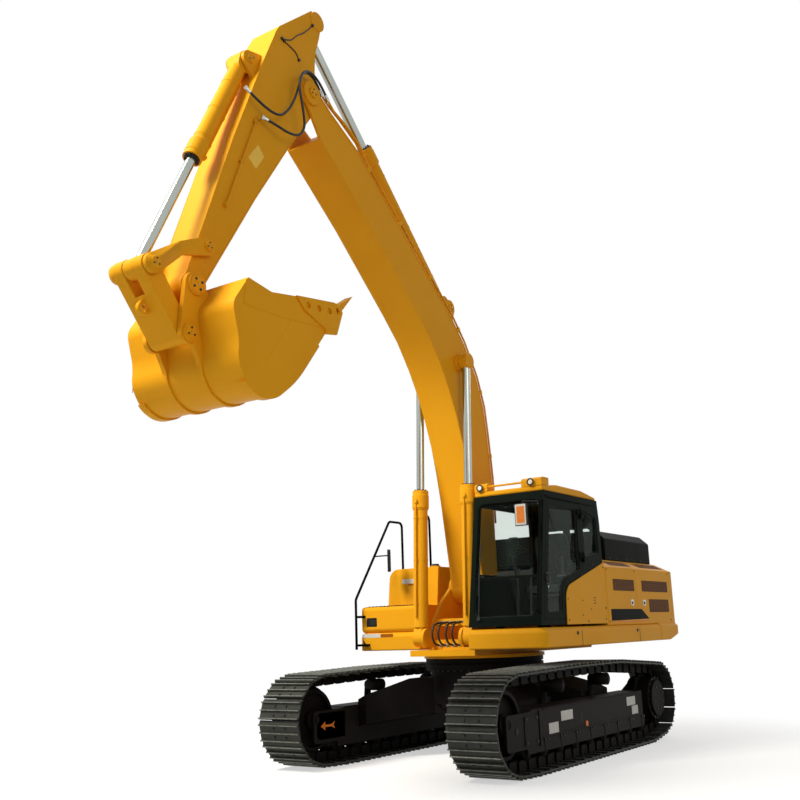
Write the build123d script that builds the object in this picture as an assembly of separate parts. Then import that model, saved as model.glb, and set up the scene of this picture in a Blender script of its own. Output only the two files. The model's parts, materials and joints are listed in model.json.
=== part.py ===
from build123d import *
import os
from math import acos, atan2, cos, degrees, hypot, pi, radians, sin, tan

# Crawler excavator of the 36 tonne class, standing on its tracks with the boom raised,
# the arm hanging and the bucket curled.
# Millimetres. +X forward, +Y left (the cab's side), +Z up, origin on the swing axis at ground level.

os.makedirs("parts", exist_ok=True)

# ---------------------------------------------------------------- driving dimensions
# running clearances
PIN_GAP = 0.5            # round a pin in its eye
SIDE_GAP = 6.0           # between links that swing past each other
SEAT_GAP = 0.3           # between faces that rest on each other

# undercarriage
TRACK_GAUGE = 2590.0     # between the middles of the two tracks
SHOE_WIDTH = 600.0
SHOE_COUNT = 49
GROUSER_HEIGHT = 26.0
PLATE_THICKNESS = 14.0
LINK_ABOVE_PIN = 62.0    # from the pin's line out to the shoe plate
LINK_BELOW_PIN = 55.0    # from the pin's line in to the rail that the rollers run on
RAIL_INNER = 60.0        # the two rails lie from here ...
RAIL_OUTER = 112.0       # ... to here, off the middle of the track
IDLER_X = 2030.0
IDLER_Z = 545.0
IDLER_REACH = 530.0      # from the idler's axle to the grouser tips round it
SPROCKET_X = -2020.0
SPROCKET_Z = 540.0
SPROCKET_REACH = 478.0
TRACK_TOP = 1103.0       # grouser tips over the carrier rollers
ROLLER_RADIUS = 88.0
ROLLER_COUNT = 9
ROLLER_PITCH = 400.0
CARRIER_RADIUS = 75.0
CARRIER_X = 650.0
FRAME_HALF_WIDTH = 160.0  # of a side frame, off the middle of its track
GUARD_BOTTOM = 270.0     # of the roller guards and the idler's covers
FRAME_TOP = 660.0
GROUND_CLEARANCE = 510.0
DRUM_RADIUS = 700.0
RING_RADIUS = 760.0
RING_BOTTOM = 1040.0
RING_TOP = 1180.0
COVER_X = (1370.0, 2085.0)  # of the plates beside the idler
TOW_HOLE = 27.0
TOW_PLACE = (800.0, 90.0)   # in plan
TOW_Z = (600.0, 644.0)

# superstructure
DECK_BOTTOM = RING_TOP + SEAT_GAP
HALF_WIDTH = 1495.0
SILL_BOTTOM = 1294.0
SILL_TOP = 1523.0
SILL_WIDTH = 190.0
FRONT_LEFT_X = 1180.0    # front of the sill under the cab
FRONT_RIGHT_X = 740.0    # front of the steps on the other side
TAIL_RADIUS = 3600.0
TAIL_CORNER = 300.0
TAIL_STEP = 35.0         # from the band round the tail's foot in to its upper part
TAIL_FRONT_X = -2450.0
COVER_TOP = 2390.0
BRACKET_INNER = 256.0    # the two boom brackets stand from here ...
BRACKET_OUTER = 300.0    # ... to here, off the middle
DECK_TOP = SILL_BOTTOM + 30
ON_DECK = DECK_TOP + SEAT_GAP
BEAM_TOP = SILL_TOP + 60
COVER_INNER = 700.0
COVER_OUTER = HALF_WIDTH - TAIL_STEP
COVER_CHAMFER = 120.0     # in height; twice that across
HOOD_X = (-2950.0, -1350.0)
HOOD_TOP = 2800.0
TANK_X = (-1250.0, 60.0)
TANK_TOP = 2376.0
LOCKER_TOP = 1860.0
TANK_SIDE = HALF_WIDTH - 60
RAIL_TUBE = 17.0         # radius of the handrails
EXHAUST = (-1530.0, 560.0)
MANIFOLD_X = (620.0, 700.0)
MANIFOLD_Z = (1580.0, 1670.0)

# cab
CAB_FRONT_X = 1150.0
CAB_REAR_X = -670.0
CAB_RIGHT_Y = 487.0
CAB_LEFT_Y = HALF_WIDTH - 45
CAB_BOTTOM = 1548.0
CAB_TOP = 3120.0
CAB_RAKE = 270.0         # how far the windscreen leans back over the cab's height
WALL = 45.0              # cab walls and doors
GLASS = 6.0
DOOR_X = (-60.0, 1010.0)
DOOR_GAP = 6.0
HINGE_X = DOOR_X[0] - DOOR_GAP / 2
HINGE_Y = CAB_LEFT_Y + 24
HINGE_Z = (CAB_TOP - 760, CAB_TOP - 220)
PANEL_FRONT_X = 492.0    # of the yellow panel on the cab's left wall
PANEL_THICKNESS = 12.0
HINGE_RADIUS = 18.0
HINGE_PIN = 9.0

# boom, arm and bucket
BOOM_FOOT = (150.0, 2050.0)
BOOM_ANGLE = 57.2
BOOM_LENGTH = 6486.0
BOOM_HALF = 240.0
BOOM_EARS_INNER = 214.0
BOOM_EARS_OUTER = 275.0
BOOM_UPPER = [(6486, 150), (6240, 255), (5733, 525), (3330, 1317), (2900, 1395), (2400, 1400), (2001, 1320),
              (1663, 1175), (1133, 918), (-100, 150)]
BOOM_LOWER = [(120, -150), (1149, 305), (1500, 432), (1850, 540), (2200, 612), (2550, 655), (2900, 664),
              (3300, 635), (3700, 545), (4930, 215), (5973, -125), (6440, -130)]
ARM_ANGLE = -58.7
ARM_LENGTH = 3247.0
ARM_HALF = 200.0
BUCKET_ANGLE = 171.4
BUCKET_HALF = 720.0
BUCKET_PLATE = 32.0
BUCKET_BACK = [(215, 5), (-25, 262), (-10, 430), (10, 600), (-30, 800), (60, 1010), (230, 1120), (420, 1120),
               (740, 945), (1245, 470), (1500, 215)]
PIN_LARGE = 60.0
PIN_SMALL = 50.0

# cylinders: foot and rod eye, barrel and rod radii
BOOM_CYLINDER_Y = 365.0
BOOM_CYLINDER_FOOT = (910.0, 1440.0)     # in the machine's own axes
BOOM_CYLINDER_EYE = (2741.0, 1090.0)     # in the boom's axes
BOOM_BARREL = 92.0
BOOM_ROD = 52.0
BOOM_BARREL_LENGTH = 1863.0
ARM_CYLINDER_FOOT = (3400.0, 1540.0)     # in the boom's axes
ARM_CYLINDER_EYE = (-980.0, 385.0)       # in the arm's axes
ARM_BARREL = 102.0
ARM_ROD = 60.0
ARM_BARREL_LENGTH = 2375.0
BUCKET_CYLINDER_FOOT = (405.0, 766.0)    # in the arm's axes
BUCKET_BARREL = 88.0
BUCKET_ROD = 50.0
BUCKET_BARREL_LENGTH = 1553.0
GUIDE_PIVOT = (ARM_LENGTH - 445, 100.0)          # in the arm's axes
LINK_JOINT = (ARM_LENGTH + 193, 460.0)           # in the arm's axes
BUCKET_SECOND_PIN = (ARM_LENGTH + 447, -189.0)   # in the arm's axes
EYE_HALF = 60.0
LINK_INNER = ARM_HALF + SIDE_GAP + 2     # guide links and bucket ears stand from here ...
LINK_OUTER = LINK_INNER + 50             # ... to here, off the middle
LIFT_HOLE = 38.0
LIFT_PLACE = (335.0, 140.0)              # along the bucket link and out from it

# pipes and hoses
PIPE = 13.0
PIPE_STAND_OFF = 62.0    # of the boom's pipes over its top plate
HOSE = 14.0
FRONT_HOSE = 12.5
FRONT_HOSE_Y = (-130.0, -40.0, 70.0, 160.0)
FRONT_HOSE_BEND = 141.0
ARM_HOSES = {
    # name: points of the route in the arm's axes and across
    "arm_hose_1": [(-171, -142, 240), (-202, 19, 261), (-142, 167, 288), (-7, 254, 312), (155, 221, 318),
                   (316, 185, 321), (481, 163, 320), (647, 167, 321), (805, 215, 320), (885, 355, 309),
                   (903, 517, 279), (895, 678, 240)],
    "arm_hose_2": [(-172, -225, 270), (-199, -61, 288), (-173, 101, 310), (-76, 232, 336), (82, 277, 353),
                   (243, 240, 361), (362, 125, 361), (479, 3, 360), (612, -96, 360), (777, -88, 354),
                   (877, 36, 338), (926, 193, 306), (971, 344, 250)],
}


ON_BASE = (Align.CENTER, Align.CENTER, Align.MIN)


# ---------------------------------------------------------------- helpers
def side_plane(x, z, angle=0.0):
    """A sketch plane seen from the side: its first axis at the angle above +X, its second square to it."""
    turn = radians(angle)
    return Plane(origin=(x, 0, z), x_dir=(cos(turn), 0, sin(turn)), z_dir=(0, -1, 0))


def spot(plane, u, v):
    """The (x, z) of a point given in a side plane's own axes."""
    point = plane.from_local_coords(Vector(u, v, 0))
    return point.X, point.Z


def slab(plane, shape, y_low, y_high):
    """A piece as drawn in a side view, from y_low to y_high."""
    return extrude(Pos(0, y_low, 0) * (plane * shape), amount=y_high - y_low, dir=(0, 1, 0))


def both_slabs(plane, shape, y_inner, y_outer):
    """The same piece on both sides of the middle."""
    return slab(plane, shape, y_inner, y_outer) + slab(plane, shape, -y_outer, -y_inner)


def poly(*points):
    return Polygon(*points, align=None)


def rounded(points, radius):
    shape = poly(*points)
    return fillet(shape.vertices(), radius)


def disc(centre, radius):
    return Pos(*centre) * Circle(radius)


def widest_bends(points):
    """A radius for each corner of a path, as wide as the shorter of its two runs lets it be."""
    places = [Vector(*point) for point in points]
    runs = [b - a for a, b in zip(places, places[1:])]
    bends = []
    for before, after in zip(runs, runs[1:]):
        turn = radians(before.get_angle(after))
        bends.append(0.45 * min(before.length, after.length) / tan(turn / 2))
    return bends


def hull_bar(a, b, radius_a, radius_b):
    """A tapered bar with round ends, between two points of a sketch."""
    return make_hull((disc(a, radius_a) + disc(b, radius_b)).edges())


def drum(x, z, radius, y_low, y_high):
    """A cylinder lying across the machine."""
    return Pos(x, (y_low + y_high) / 2, z) * Rot(90, 0, 0) * Cylinder(radius, y_high - y_low)


def bar(start, end, radius):
    """A round bar from one point to another."""
    line = Vector(*end) - Vector(*start)
    return Plane(origin=start, z_dir=line) * Cylinder(radius, line.length, align=ON_BASE)


def block(x0, x1, y0, y1, z0, z1):
    return Pos((x0 + x1) / 2, (y0 + y1) / 2, (z0 + z1) / 2) * Box(x1 - x0, y1 - y0, z1 - z0)


def mirrored(part):
    return mirror(part, about=Plane.XZ)


MACHINE = side_plane(0, 0)
BOOM = side_plane(*BOOM_FOOT, BOOM_ANGLE)
BOOM_TIP = spot(BOOM, BOOM_LENGTH, 0)
ARM = side_plane(*BOOM_TIP, ARM_ANGLE)
BUCKET_PIN = spot(ARM, ARM_LENGTH, 0)
BUCKET = side_plane(*BUCKET_PIN, BUCKET_ANGLE)


def in_plane(plane, point):
    """A point of the machine's side view in another side plane's own axes."""
    local = plane.to_local_coords(Vector(point[0], 0, point[1]))
    return local.X, local.Y


# ---------------------------------------------------------------- tracks
def belt(circles):
    """The tight loop round circles (x, z, radius), clockwise: arcs and lines as (kind, data, length)."""
    pieces = []
    tangents = []
    for first, second in zip(circles, circles[1:] + circles[:1]):
        dx, dz = second[0] - first[0], second[1] - first[1]
        reach = hypot(dx, dz)
        lean = acos((first[2] - second[2]) / reach)
        normal = atan2(dz, dx) + lean
        start = (first[0] + first[2] * cos(normal), first[1] + first[2] * sin(normal))
        end = (second[0] + second[2] * cos(normal), second[1] + second[2] * sin(normal))
        tangents.append((normal, start, end))
    for index, circle in enumerate(circles):
        before = tangents[index - 1][0]
        after = tangents[index][0]
        sweep = (before - after) % (2 * pi)
        pieces.append(("arc", (circle, before), circle[2] * sweep))
        start, end = tangents[index][1:]
        pieces.append(("line", (start, end), hypot(end[0] - start[0], end[1] - start[1])))
    return pieces


def along_belt(pieces, distance):
    """The point on the loop that lies the distance along it."""
    for kind, data, length in pieces:
        if distance > length:
            distance -= length
            continue
        if kind == "line":
            start, end = data
            share = distance / length
            return start[0] + share * (end[0] - start[0]), start[1] + share * (end[1] - start[1])
        (x, z, radius), start_angle = data
        angle = start_angle - distance / radius
        return x + radius * cos(angle), z + radius * sin(angle)
    return along_belt(pieces, distance - 1e-6)


TIP_ABOVE_PIN = LINK_ABOVE_PIN + PLATE_THICKNESS + GROUSER_HEIGHT
RAIL_Z = TIP_ABOVE_PIN + LINK_BELOW_PIN
ROLLER_Z = RAIL_Z + ROLLER_RADIUS + 2.5
LAST_ROLLER = (ROLLER_COUNT - 1) / 2 * ROLLER_PITCH
CARRIER_Z = TRACK_TOP - TIP_ABOVE_PIN - LINK_BELOW_PIN - CARRIER_RADIUS - 6
IDLER_PITCH_RADIUS = IDLER_REACH - TIP_ABOVE_PIN
SPROCKET_PITCH_RADIUS = SPROCKET_REACH - TIP_ABOVE_PIN
FLANGE_RADIUS = ROLLER_RADIUS + 16
FRAME_BOTTOM = ROLLER_Z + FLANGE_RADIUS + 12
ROLLER_HALF = RAIL_OUTER + 17
YOKE_INNER = ROLLER_HALF + SEAT_GAP


def track_pins():
    """Where the track's pins lie, clockwise from the idler."""
    roller = ROLLER_Z - TIP_ABOVE_PIN
    carrier = TRACK_TOP - TIP_ABOVE_PIN - CARRIER_Z
    loop = belt([
        (IDLER_X, IDLER_Z, IDLER_PITCH_RADIUS),
        (LAST_ROLLER, ROLLER_Z, roller),
        (-LAST_ROLLER, ROLLER_Z, roller),
        (SPROCKET_X, SPROCKET_Z, SPROCKET_PITCH_RADIUS),
        (-CARRIER_X, CARRIER_Z, carrier),
        (CARRIER_X, CARRIER_Z, carrier),
    ])
    whole = sum(piece[2] for piece in loop)
    return [along_belt(loop, whole * index / SHOE_COUNT) for index in range(SHOE_COUNT)]


def track_rows():
    """The shoes' outer outline, the line under the shoe plates and the rails' inner line."""
    pins = track_pins()
    frames = []
    for start, end in zip(pins, pins[1:] + pins[:1]):
        length = hypot(end[0] - start[0], end[1] - start[1])
        along = ((end[0] - start[0]) / length, (end[1] - start[1]) / length)
        out = (-along[1], along[0])
        middle = ((start[0] + end[0]) / 2, (start[1] + end[1]) / 2)
        frames.append((middle, along, out, length))

    def place(frame, s, h):
        middle, along, out, _ = frame
        return middle[0] + s * along[0] + h * out[0], middle[1] + s * along[1] + h * out[1]

    def shared(index, h):
        """The point over a pin, on the bisector of the two shoes that meet there."""
        before = frames[index - 1]
        here = frames[index]
        out = (before[2][0] + here[2][0], before[2][1] + here[2][1])
        size = hypot(*out)
        stretch = h / (size / 2) / size
        return pins[index][0] + out[0] * stretch, pins[index][1] + out[1] * stretch

    plate = LINK_ABOVE_PIN + PLATE_THICKNESS
    tip = plate + GROUSER_HEIGHT
    outer = []
    for index, frame in enumerate(frames):
        half = frame[3] / 2 - 8
        outer.append(shared(index, LINK_ABOVE_PIN + 4))
        for centre in (-half + 9, 0, half - 9):
            outer.append(place(frame, centre - 9, plate))
            outer.append(place(frame, centre, tip))
            outer.append(place(frame, centre + 9, plate))
    under = [shared(index, LINK_ABOVE_PIN) for index in range(SHOE_COUNT)]
    rail = [shared(index, -LINK_BELOW_PIN) for index in range(SHOE_COUNT)]
    return outer, under, rail


def track(y):
    """One track as a closed loop: the shoes across its width and the two rails of links inside them."""
    outer, under, rail = track_rows()
    shoes = poly(*outer) - poly(*under)
    links = poly(*under) - poly(*rail)
    loop = slab(MACHINE, shoes, y - SHOE_WIDTH / 2, y + SHOE_WIDTH / 2)
    for side in (-1, 1):
        edges = sorted((y + side * RAIL_INNER, y + side * RAIL_OUTER))
        loop += slab(MACHINE, links, *edges)
    return loop


def chord_reach(pitch_radius):
    """How near the rails come to the middle of a wheel that the chain wraps round as straight links."""
    pins = track_pins()
    pitch = hypot(pins[1][0] - pins[0][0], pins[1][1] - pins[0][1])
    return (pitch_radius ** 2 - (pitch / 2) ** 2) ** 0.5 - LINK_BELOW_PIN


IDLER_TREAD = chord_reach(IDLER_PITCH_RADIUS) - SEAT_GAP - 4
SPROCKET_TREAD = chord_reach(SPROCKET_PITCH_RADIUS) - 6


# ---------------------------------------------------------------- undercarriage


def idler(y):
    """The front wheel: two treads under the rails, a flange between them, a web and a hub with its axle."""
    axle = drum(IDLER_X, IDLER_Z, 45, y - FRAME_HALF_WIDTH + 6, y + FRAME_HALF_WIDTH - 6)
    tread = drum(IDLER_X, IDLER_Z, IDLER_TREAD, y - RAIL_OUTER, y + RAIL_OUTER)
    flange = drum(IDLER_X, IDLER_Z, IDLER_TREAD + 30, y - RAIL_INNER + 6, y + RAIL_INNER - 6)
    wheel = tread + flange
    for side in (-1, 1):
        dish = drum(IDLER_X, IDLER_Z, IDLER_TREAD - 45, *sorted((y + side * 45, y + side * 130)))
        wheel -= dish
        wheel += drum(IDLER_X, IDLER_Z, 110, *sorted((y + side * 40, y + side * (RAIL_OUTER + 5))))
    return wheel + axle


def final_drive(y, out):
    """The sprocket and the round gear case that drives it; out is +1 on the left and -1 on the right."""
    teeth = round(2 * SHOE_COUNT * SPROCKET_PITCH_RADIUS * 2 * pi / 10600 / 2)
    ring = Circle(SPROCKET_PITCH_RADIUS - 40)
    for index in range(teeth):
        tooth = poly((SPROCKET_PITCH_RADIUS - 60, -34), (SPROCKET_PITCH_RADIUS + 2, -14),
                     (SPROCKET_PITCH_RADIUS + 2, 14), (SPROCKET_PITCH_RADIUS - 60, 34))
        ring += Rot(0, 0, 360 / teeth * (index + 0.5)) * tooth
    spot_x, spot_z = SPROCKET_X, SPROCKET_Z
    body = slab(side_plane(spot_x, spot_z), ring, y - 24, y + 24)
    inner, outer = sorted((y - out * 130, y + out * 190))
    body += drum(spot_x, spot_z, SPROCKET_TREAD - 25, inner, outer)
    body += drum(spot_x, spot_z, 232, *sorted((y + out * 190, y + out * 232)))
    return body


def side_frame(y, out):
    """The long box that carries idler, rollers and final drive, with its yoke plates and roller guards."""
    low, high = y - FRAME_HALF_WIDTH, y + FRAME_HALF_WIDTH
    front = IDLER_X - IDLER_TREAD - 55
    rear = SPROCKET_X + SPROCKET_PITCH_RADIUS + 30
    section = poly((rear, FRAME_BOTTOM), (front, FRAME_BOTTOM),
                   (front, FRAME_TOP - 30), (front - 120, FRAME_TOP), (rear, FRAME_TOP))
    frame = slab(MACHINE, section, low, high)
    yoke = rounded([(COVER_X[0], GUARD_BOTTOM), (COVER_X[1], GUARD_BOTTOM),
                    (COVER_X[1], FRAME_TOP - 20), (COVER_X[0], FRAME_TOP - 20)], 40)
    yoke -= disc((IDLER_X, IDLER_Z), 45 + PIN_GAP)
    hanger = poly((rear + 160, FRAME_TOP - 40), (rear - 40, FRAME_TOP - 20),
                  (SPROCKET_X + 20, SPROCKET_Z + 230), (SPROCKET_X - 160, SPROCKET_Z + 160),
                  (SPROCKET_X - 160, SPROCKET_Z - 160),
                  (SPROCKET_X + 20, SPROCKET_Z - 230), (rear + 160, FRAME_BOTTOM + 6))
    guard = poly((rear, FRAME_BOTTOM + 10), (LAST_ROLLER + 60, FRAME_BOTTOM + 10),
                 (LAST_ROLLER + 40, GUARD_BOTTOM - 60), (rear + 30, GUARD_BOTTOM - 60))
    for side in (-1, 1):
        plate = sorted((y + side * YOKE_INNER, y + side * FRAME_HALF_WIDTH))
        frame += slab(MACHINE, yoke, *plate)
    bracket = sorted((y - out * 130 - out * SEAT_GAP, y - out * FRAME_HALF_WIDTH))
    frame += slab(MACHINE, hanger, *bracket)
    for side in (-1, 1):
        plate = sorted((y + side * (ROLLER_HALF + SEAT_GAP), y + side * (ROLLER_HALF + 24)))
        frame += slab(MACHINE, guard, *plate)
    return frame


def lower_rollers(y):
    """The rollers that the machine stands on, each turned with two treads and two flanges."""
    flange = RAIL_OUTER + 2
    profile = poly((-ROLLER_HALF, 0), (-ROLLER_HALF, 40), (-flange - 6, 40), (-flange - 6, FLANGE_RADIUS),
                   (-flange, FLANGE_RADIUS), (-flange, ROLLER_RADIUS), (flange, ROLLER_RADIUS),
                   (flange, FLANGE_RADIUS), (flange + 6, FLANGE_RADIUS), (flange + 6, 40), (ROLLER_HALF, 40),
                   (ROLLER_HALF, 0))
    rollers = Part()
    for index in range(ROLLER_COUNT):
        x = (index - (ROLLER_COUNT - 1) / 2) * ROLLER_PITCH
        plane = Plane(origin=(x, y, ROLLER_Z), x_dir=(0, 1, 0), z_dir=(1, 0, 0))
        rollers += revolve(plane * profile, Axis((x, y, ROLLER_Z), (0, 1, 0)), 360)
    return rollers


def carrier_rollers(y):
    """The two rollers that hold the track up, each on its post on the side frame."""
    rollers = Part()
    for x in (-CARRIER_X, CARRIER_X):
        rollers += drum(x, CARRIER_Z, CARRIER_RADIUS, y - RAIL_OUTER, y + RAIL_OUTER)
        rollers += drum(x, CARRIER_Z, CARRIER_RADIUS - 20, y - RAIL_OUTER - 30, y + RAIL_OUTER + 12)
        post_y = sorted((y - RAIL_OUTER - 30, y - RAIL_OUTER - 5))
        post = poly((x - 70, FRAME_TOP), (x + 70, FRAME_TOP), (x + 45, CARRIER_Z), (x - 45, CARRIER_Z))
        rollers += slab(MACHINE, post, *post_y)
    return rollers


def centre_frame():
    """The X-shaped frame between the tracks: a drum under the ring and four legs that slope outwards."""
    reach = TRACK_GAUGE / 2 - FRAME_HALF_WIDTH
    plan = poly((1230, -reach), (1230, -reach + 120), (560, -430), (560, 430), (1230, reach - 120),
                (1230, reach),
                (430, reach), (250, reach - 330), (-250, reach - 330), (-430, reach), (-1230, reach),
                (-1230, reach - 120), (-560, 430), (-560, -430), (-1230, -reach + 120), (-1230, -reach),
                (-430, -reach), (-250, -reach + 330), (250, -reach + 330), (430, -reach))
    slope = poly((-reach, FRAME_TOP - 260), (-620, GROUND_CLEARANCE), (620, GROUND_CLEARANCE),
                 (reach, FRAME_TOP - 260), (reach, FRAME_TOP + 60), (640, RING_BOTTOM - 90),
                 (-640, RING_BOTTOM - 90), (-reach, FRAME_TOP + 60))
    legs = Pos(0, 0, 300) * extrude(plan, amount=800)
    legs = legs & extrude(Plane.YZ * slope, amount=1400, both=True)
    body = legs + Pos(0, 0, (GROUND_CLEARANCE + RING_BOTTOM) / 2 + 60) * Cylinder(
        DRUM_RADIUS, RING_BOTTOM - GROUND_CLEARANCE - 120)
    for side in (-1, 1):
        place = (TOW_PLACE[0], side * TOW_PLACE[1])
        lug = hull_bar((TOW_PLACE[0] - 200, side * 150), place, 90, 64) - disc(place, TOW_HOLE)
        body += Pos(0, 0, TOW_Z[0]) * extrude(lug, amount=TOW_Z[1] - TOW_Z[0])
    return body


def slewing_ring():
    """The ring gear and bearing between undercarriage and superstructure."""
    ring = Pos(0, 0, (RING_BOTTOM + RING_TOP) / 2) * Cylinder(RING_RADIUS, RING_TOP - RING_BOTTOM)
    groove = Pos(0, 0, RING_TOP - 62) * (Cylinder(RING_RADIUS + 10, 16) - Cylinder(RING_RADIUS - 22, 16))
    ring -= Pos(0, 0, RING_TOP - 50) * Cylinder(RING_RADIUS - 160, 140)
    return ring - groove


# ---------------------------------------------------------------- superstructure
def main_deck():
    """The superstructure's welded base: ring flange, centre box, side floors and the two boom brackets."""
    flange = Pos(0, 0, DECK_BOTTOM + 20) * Cylinder(RING_RADIUS + 20, 40)
    centre = block(-2300, 1010, -470, 470, DECK_BOTTOM + 40, SILL_BOTTOM)
    inner = HALF_WIDTH - SILL_WIDTH
    body = flange + centre
    for side, front in ((1, FRONT_LEFT_X), (-1, FRONT_RIGHT_X)):
        edges = sorted((0, side * (inner - SEAT_GAP)))
        body += block(-2300, front - SILL_WIDTH - SEAT_GAP, *edges, SILL_BOTTOM, DECK_TOP)
    foot_u, foot_v = BOOM_FOOT
    cyl_u, cyl_v = BOOM_CYLINDER_FOOT
    beam_top = BEAM_TOP + 60
    cheek = poly((-2300, DECK_TOP), (cyl_u + 70, DECK_TOP), (cyl_u + 112, cyl_v - 40),
                 (cyl_u, cyl_v + 110), (cyl_u - 100, cyl_v + 75), (cyl_u - 150, cyl_v + 200),
                 (foot_u + 410, foot_v - 170), (foot_u + 180, foot_v + 10), (foot_u + 60, foot_v + 165),
                 (foot_u - 130, foot_v + 100), (foot_u - 560, beam_top + 60), (foot_u - 800, BEAM_TOP),
                 (-2300, BEAM_TOP))
    cheek += disc(BOOM_FOOT, 175) + disc(BOOM_CYLINDER_FOOT, 120)
    body += both_slabs(MACHINE, cheek, BRACKET_INNER, BRACKET_OUTER)
    body += block(-420, -390, -BRACKET_INNER, BRACKET_INNER, DECK_TOP, beam_top)
    body += block(760, 790, -BRACKET_INNER, BRACKET_INNER, SILL_BOTTOM, SILL_BOTTOM + 120)
    body += block(*MANIFOLD_X, -BRACKET_INNER - 1, BRACKET_INNER + 1, *MANIFOLD_Z)
    body += drum(*BOOM_FOOT, PIN_LARGE, -BRACKET_OUTER - 25, BRACKET_OUTER + 25)
    outer = BOOM_CYLINDER_Y + EYE_HALF + 15
    body += both_slabs(MACHINE, disc(BOOM_CYLINDER_FOOT, PIN_SMALL), BRACKET_INNER, outer)
    collar = disc(BOOM_CYLINDER_FOOT, PIN_SMALL + 18)
    body += both_slabs(MACHINE, collar, BOOM_CYLINDER_Y + EYE_HALF + 5, outer)
    return body


def sill(side):
    """The rounded box beam round the outside of the deck, under the cab or under the steps."""
    front = FRONT_LEFT_X if side > 0 else FRONT_RIGHT_X
    inner_end = CAB_RIGHT_Y if side > 0 else 500.0
    outer_y = HALF_WIDTH
    inner_y = HALF_WIDTH - SILL_WIDTH
    rear = TAIL_FRONT_X + 5
    plan = poly((front, inner_end), (front, outer_y), (rear, outer_y), (rear, inner_y),
                (front - SILL_WIDTH, inner_y), (front - SILL_WIDTH, inner_end))
    corner = plan.vertices().sort_by(Axis.X)[-2:].sort_by(Axis.Y)[-1]
    plan = fillet(corner, 120)
    beam = Pos(0, 0, SILL_BOTTOM) * extrude(plan, amount=SILL_TOP - SILL_BOTTOM)
    outside = [edge for edge in beam.faces().sort_by(Axis.Z)[-1].edges()
               if edge.length > 100 and (edge.center().Y > outer_y - 90 or edge.center().X > front - 90)]
    beam = chamfer(outside, 45)
    return beam if side > 0 else mirrored(beam)


def tail_plan(inset):
    """The counterweight seen from above: an arc about the swing axis between two flat sides."""
    radius, half_width = TAIL_RADIUS - inset, HALF_WIDTH - inset
    behind = poly((-radius - 10, -half_width), (TAIL_FRONT_X, -half_width), (TAIL_FRONT_X, half_width),
                  (-radius - 10, half_width))
    plan = Circle(radius) & behind
    return fillet(plan.vertices().sort_by(Axis.X)[:2], TAIL_CORNER - inset)


def counterweight():
    """The cast tail: a band on from the sills, a body flush with the covers, and a chamfered top."""
    levels = [(SILL_BOTTOM, 0), (SILL_TOP - TAIL_STEP, 0), (SILL_TOP, TAIL_STEP),
              (COVER_TOP - COVER_CHAMFER, TAIL_STEP), (COVER_TOP, TAIL_STEP + 2 * COVER_CHAMFER)]
    body = Part()
    plans = [Pos(0, 0, z) * tail_plan(inset) for z, inset in levels]
    for low, high in zip(plans, plans[1:]):
        body += loft([low, high], ruled=True)
    under = poly((TAIL_FRONT_X - 350, SILL_BOTTOM - 1), (-TAIL_RADIUS - 20, SILL_BOTTOM - 1),
                 (-TAIL_RADIUS - 20, SILL_BOTTOM + 190))
    return body - slab(MACHINE, under, -HALF_WIDTH - 1, HALF_WIDTH + 1)


def side_cover(side):
    """The cover over the cooler or pump beside the engine, with its chamfered top edge."""
    front = CAB_REAR_X - 20 if side > 0 else TANK_X[0] - 10
    outer = COVER_OUTER
    behind_sill = outer - SILL_WIDTH + 30
    section = poly((COVER_INNER, ON_DECK), (behind_sill, ON_DECK), (behind_sill, SILL_TOP + SEAT_GAP),
                   (outer, SILL_TOP + SEAT_GAP), (outer, COVER_TOP - COVER_CHAMFER),
                   (outer - 2 * COVER_CHAMFER, COVER_TOP), (COVER_INNER, COVER_TOP))
    body = across(section, TAIL_FRONT_X + SEAT_GAP, front)
    return body if side > 0 else mirrored(body)


def engine_block():
    return block(-2300, -1300, -COVER_INNER + 10, COVER_INNER - 10, BEAM_TOP + SEAT_GAP, COVER_TOP - 60)


def engine_hood():
    """The raised hood over the engine, with its sloping edges."""
    length = HOOD_X[1] - HOOD_X[0]
    lower = Rectangle(length, 2 * COVER_INNER + 300)
    upper = Rectangle(length - 180, 2 * COVER_INNER + 60)
    centre = (HOOD_X[0] + HOOD_X[1]) / 2
    body = loft([Pos(centre, 0, COVER_TOP + SEAT_GAP) * lower, Pos(centre, 0, HOOD_TOP - 120) * lower])
    body += loft([Pos(centre, 0, HOOD_TOP - 120) * lower, Pos(centre, 0, HOOD_TOP) * upper])
    return body


def exhaust_pipe():
    """The short stack on the hood, cut off aslant."""
    pipe = Pos(*EXHAUST, HOOD_TOP + SEAT_GAP) * Cylinder(52, 190, align=ON_BASE)
    pipe -= Pos(*EXHAUST, HOOD_TOP + 30) * Cylinder(46, 200, align=ON_BASE)
    return pipe - Pos(EXHAUST[0], EXHAUST[1], HOOD_TOP + 240) * Rot(0, 30, 0) * Box(300, 200, 120)


def fuel_tank():
    """The tank behind the tool box, its front rounded over."""
    x0, x1 = TANK_X
    bottom = SILL_TOP + SEAT_GAP
    shape = poly((x0, bottom), (x1, bottom), (x1 + 60, LOCKER_TOP), (x1, TANK_TOP), (x0, TANK_TOP))
    tall = slab(MACHINE, shape, -TANK_SIDE, -620)
    edge = tall.edges().filter_by(Axis.X).sort_by(Axis.Z)[-2:].sort_by(Axis.Y)[0]
    tall = fillet(edge, 140)
    skirt = block(x0, x1, -HALF_WIDTH + SILL_WIDTH + SEAT_GAP, -620, ON_DECK, bottom + 1)
    return tall + skirt


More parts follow.
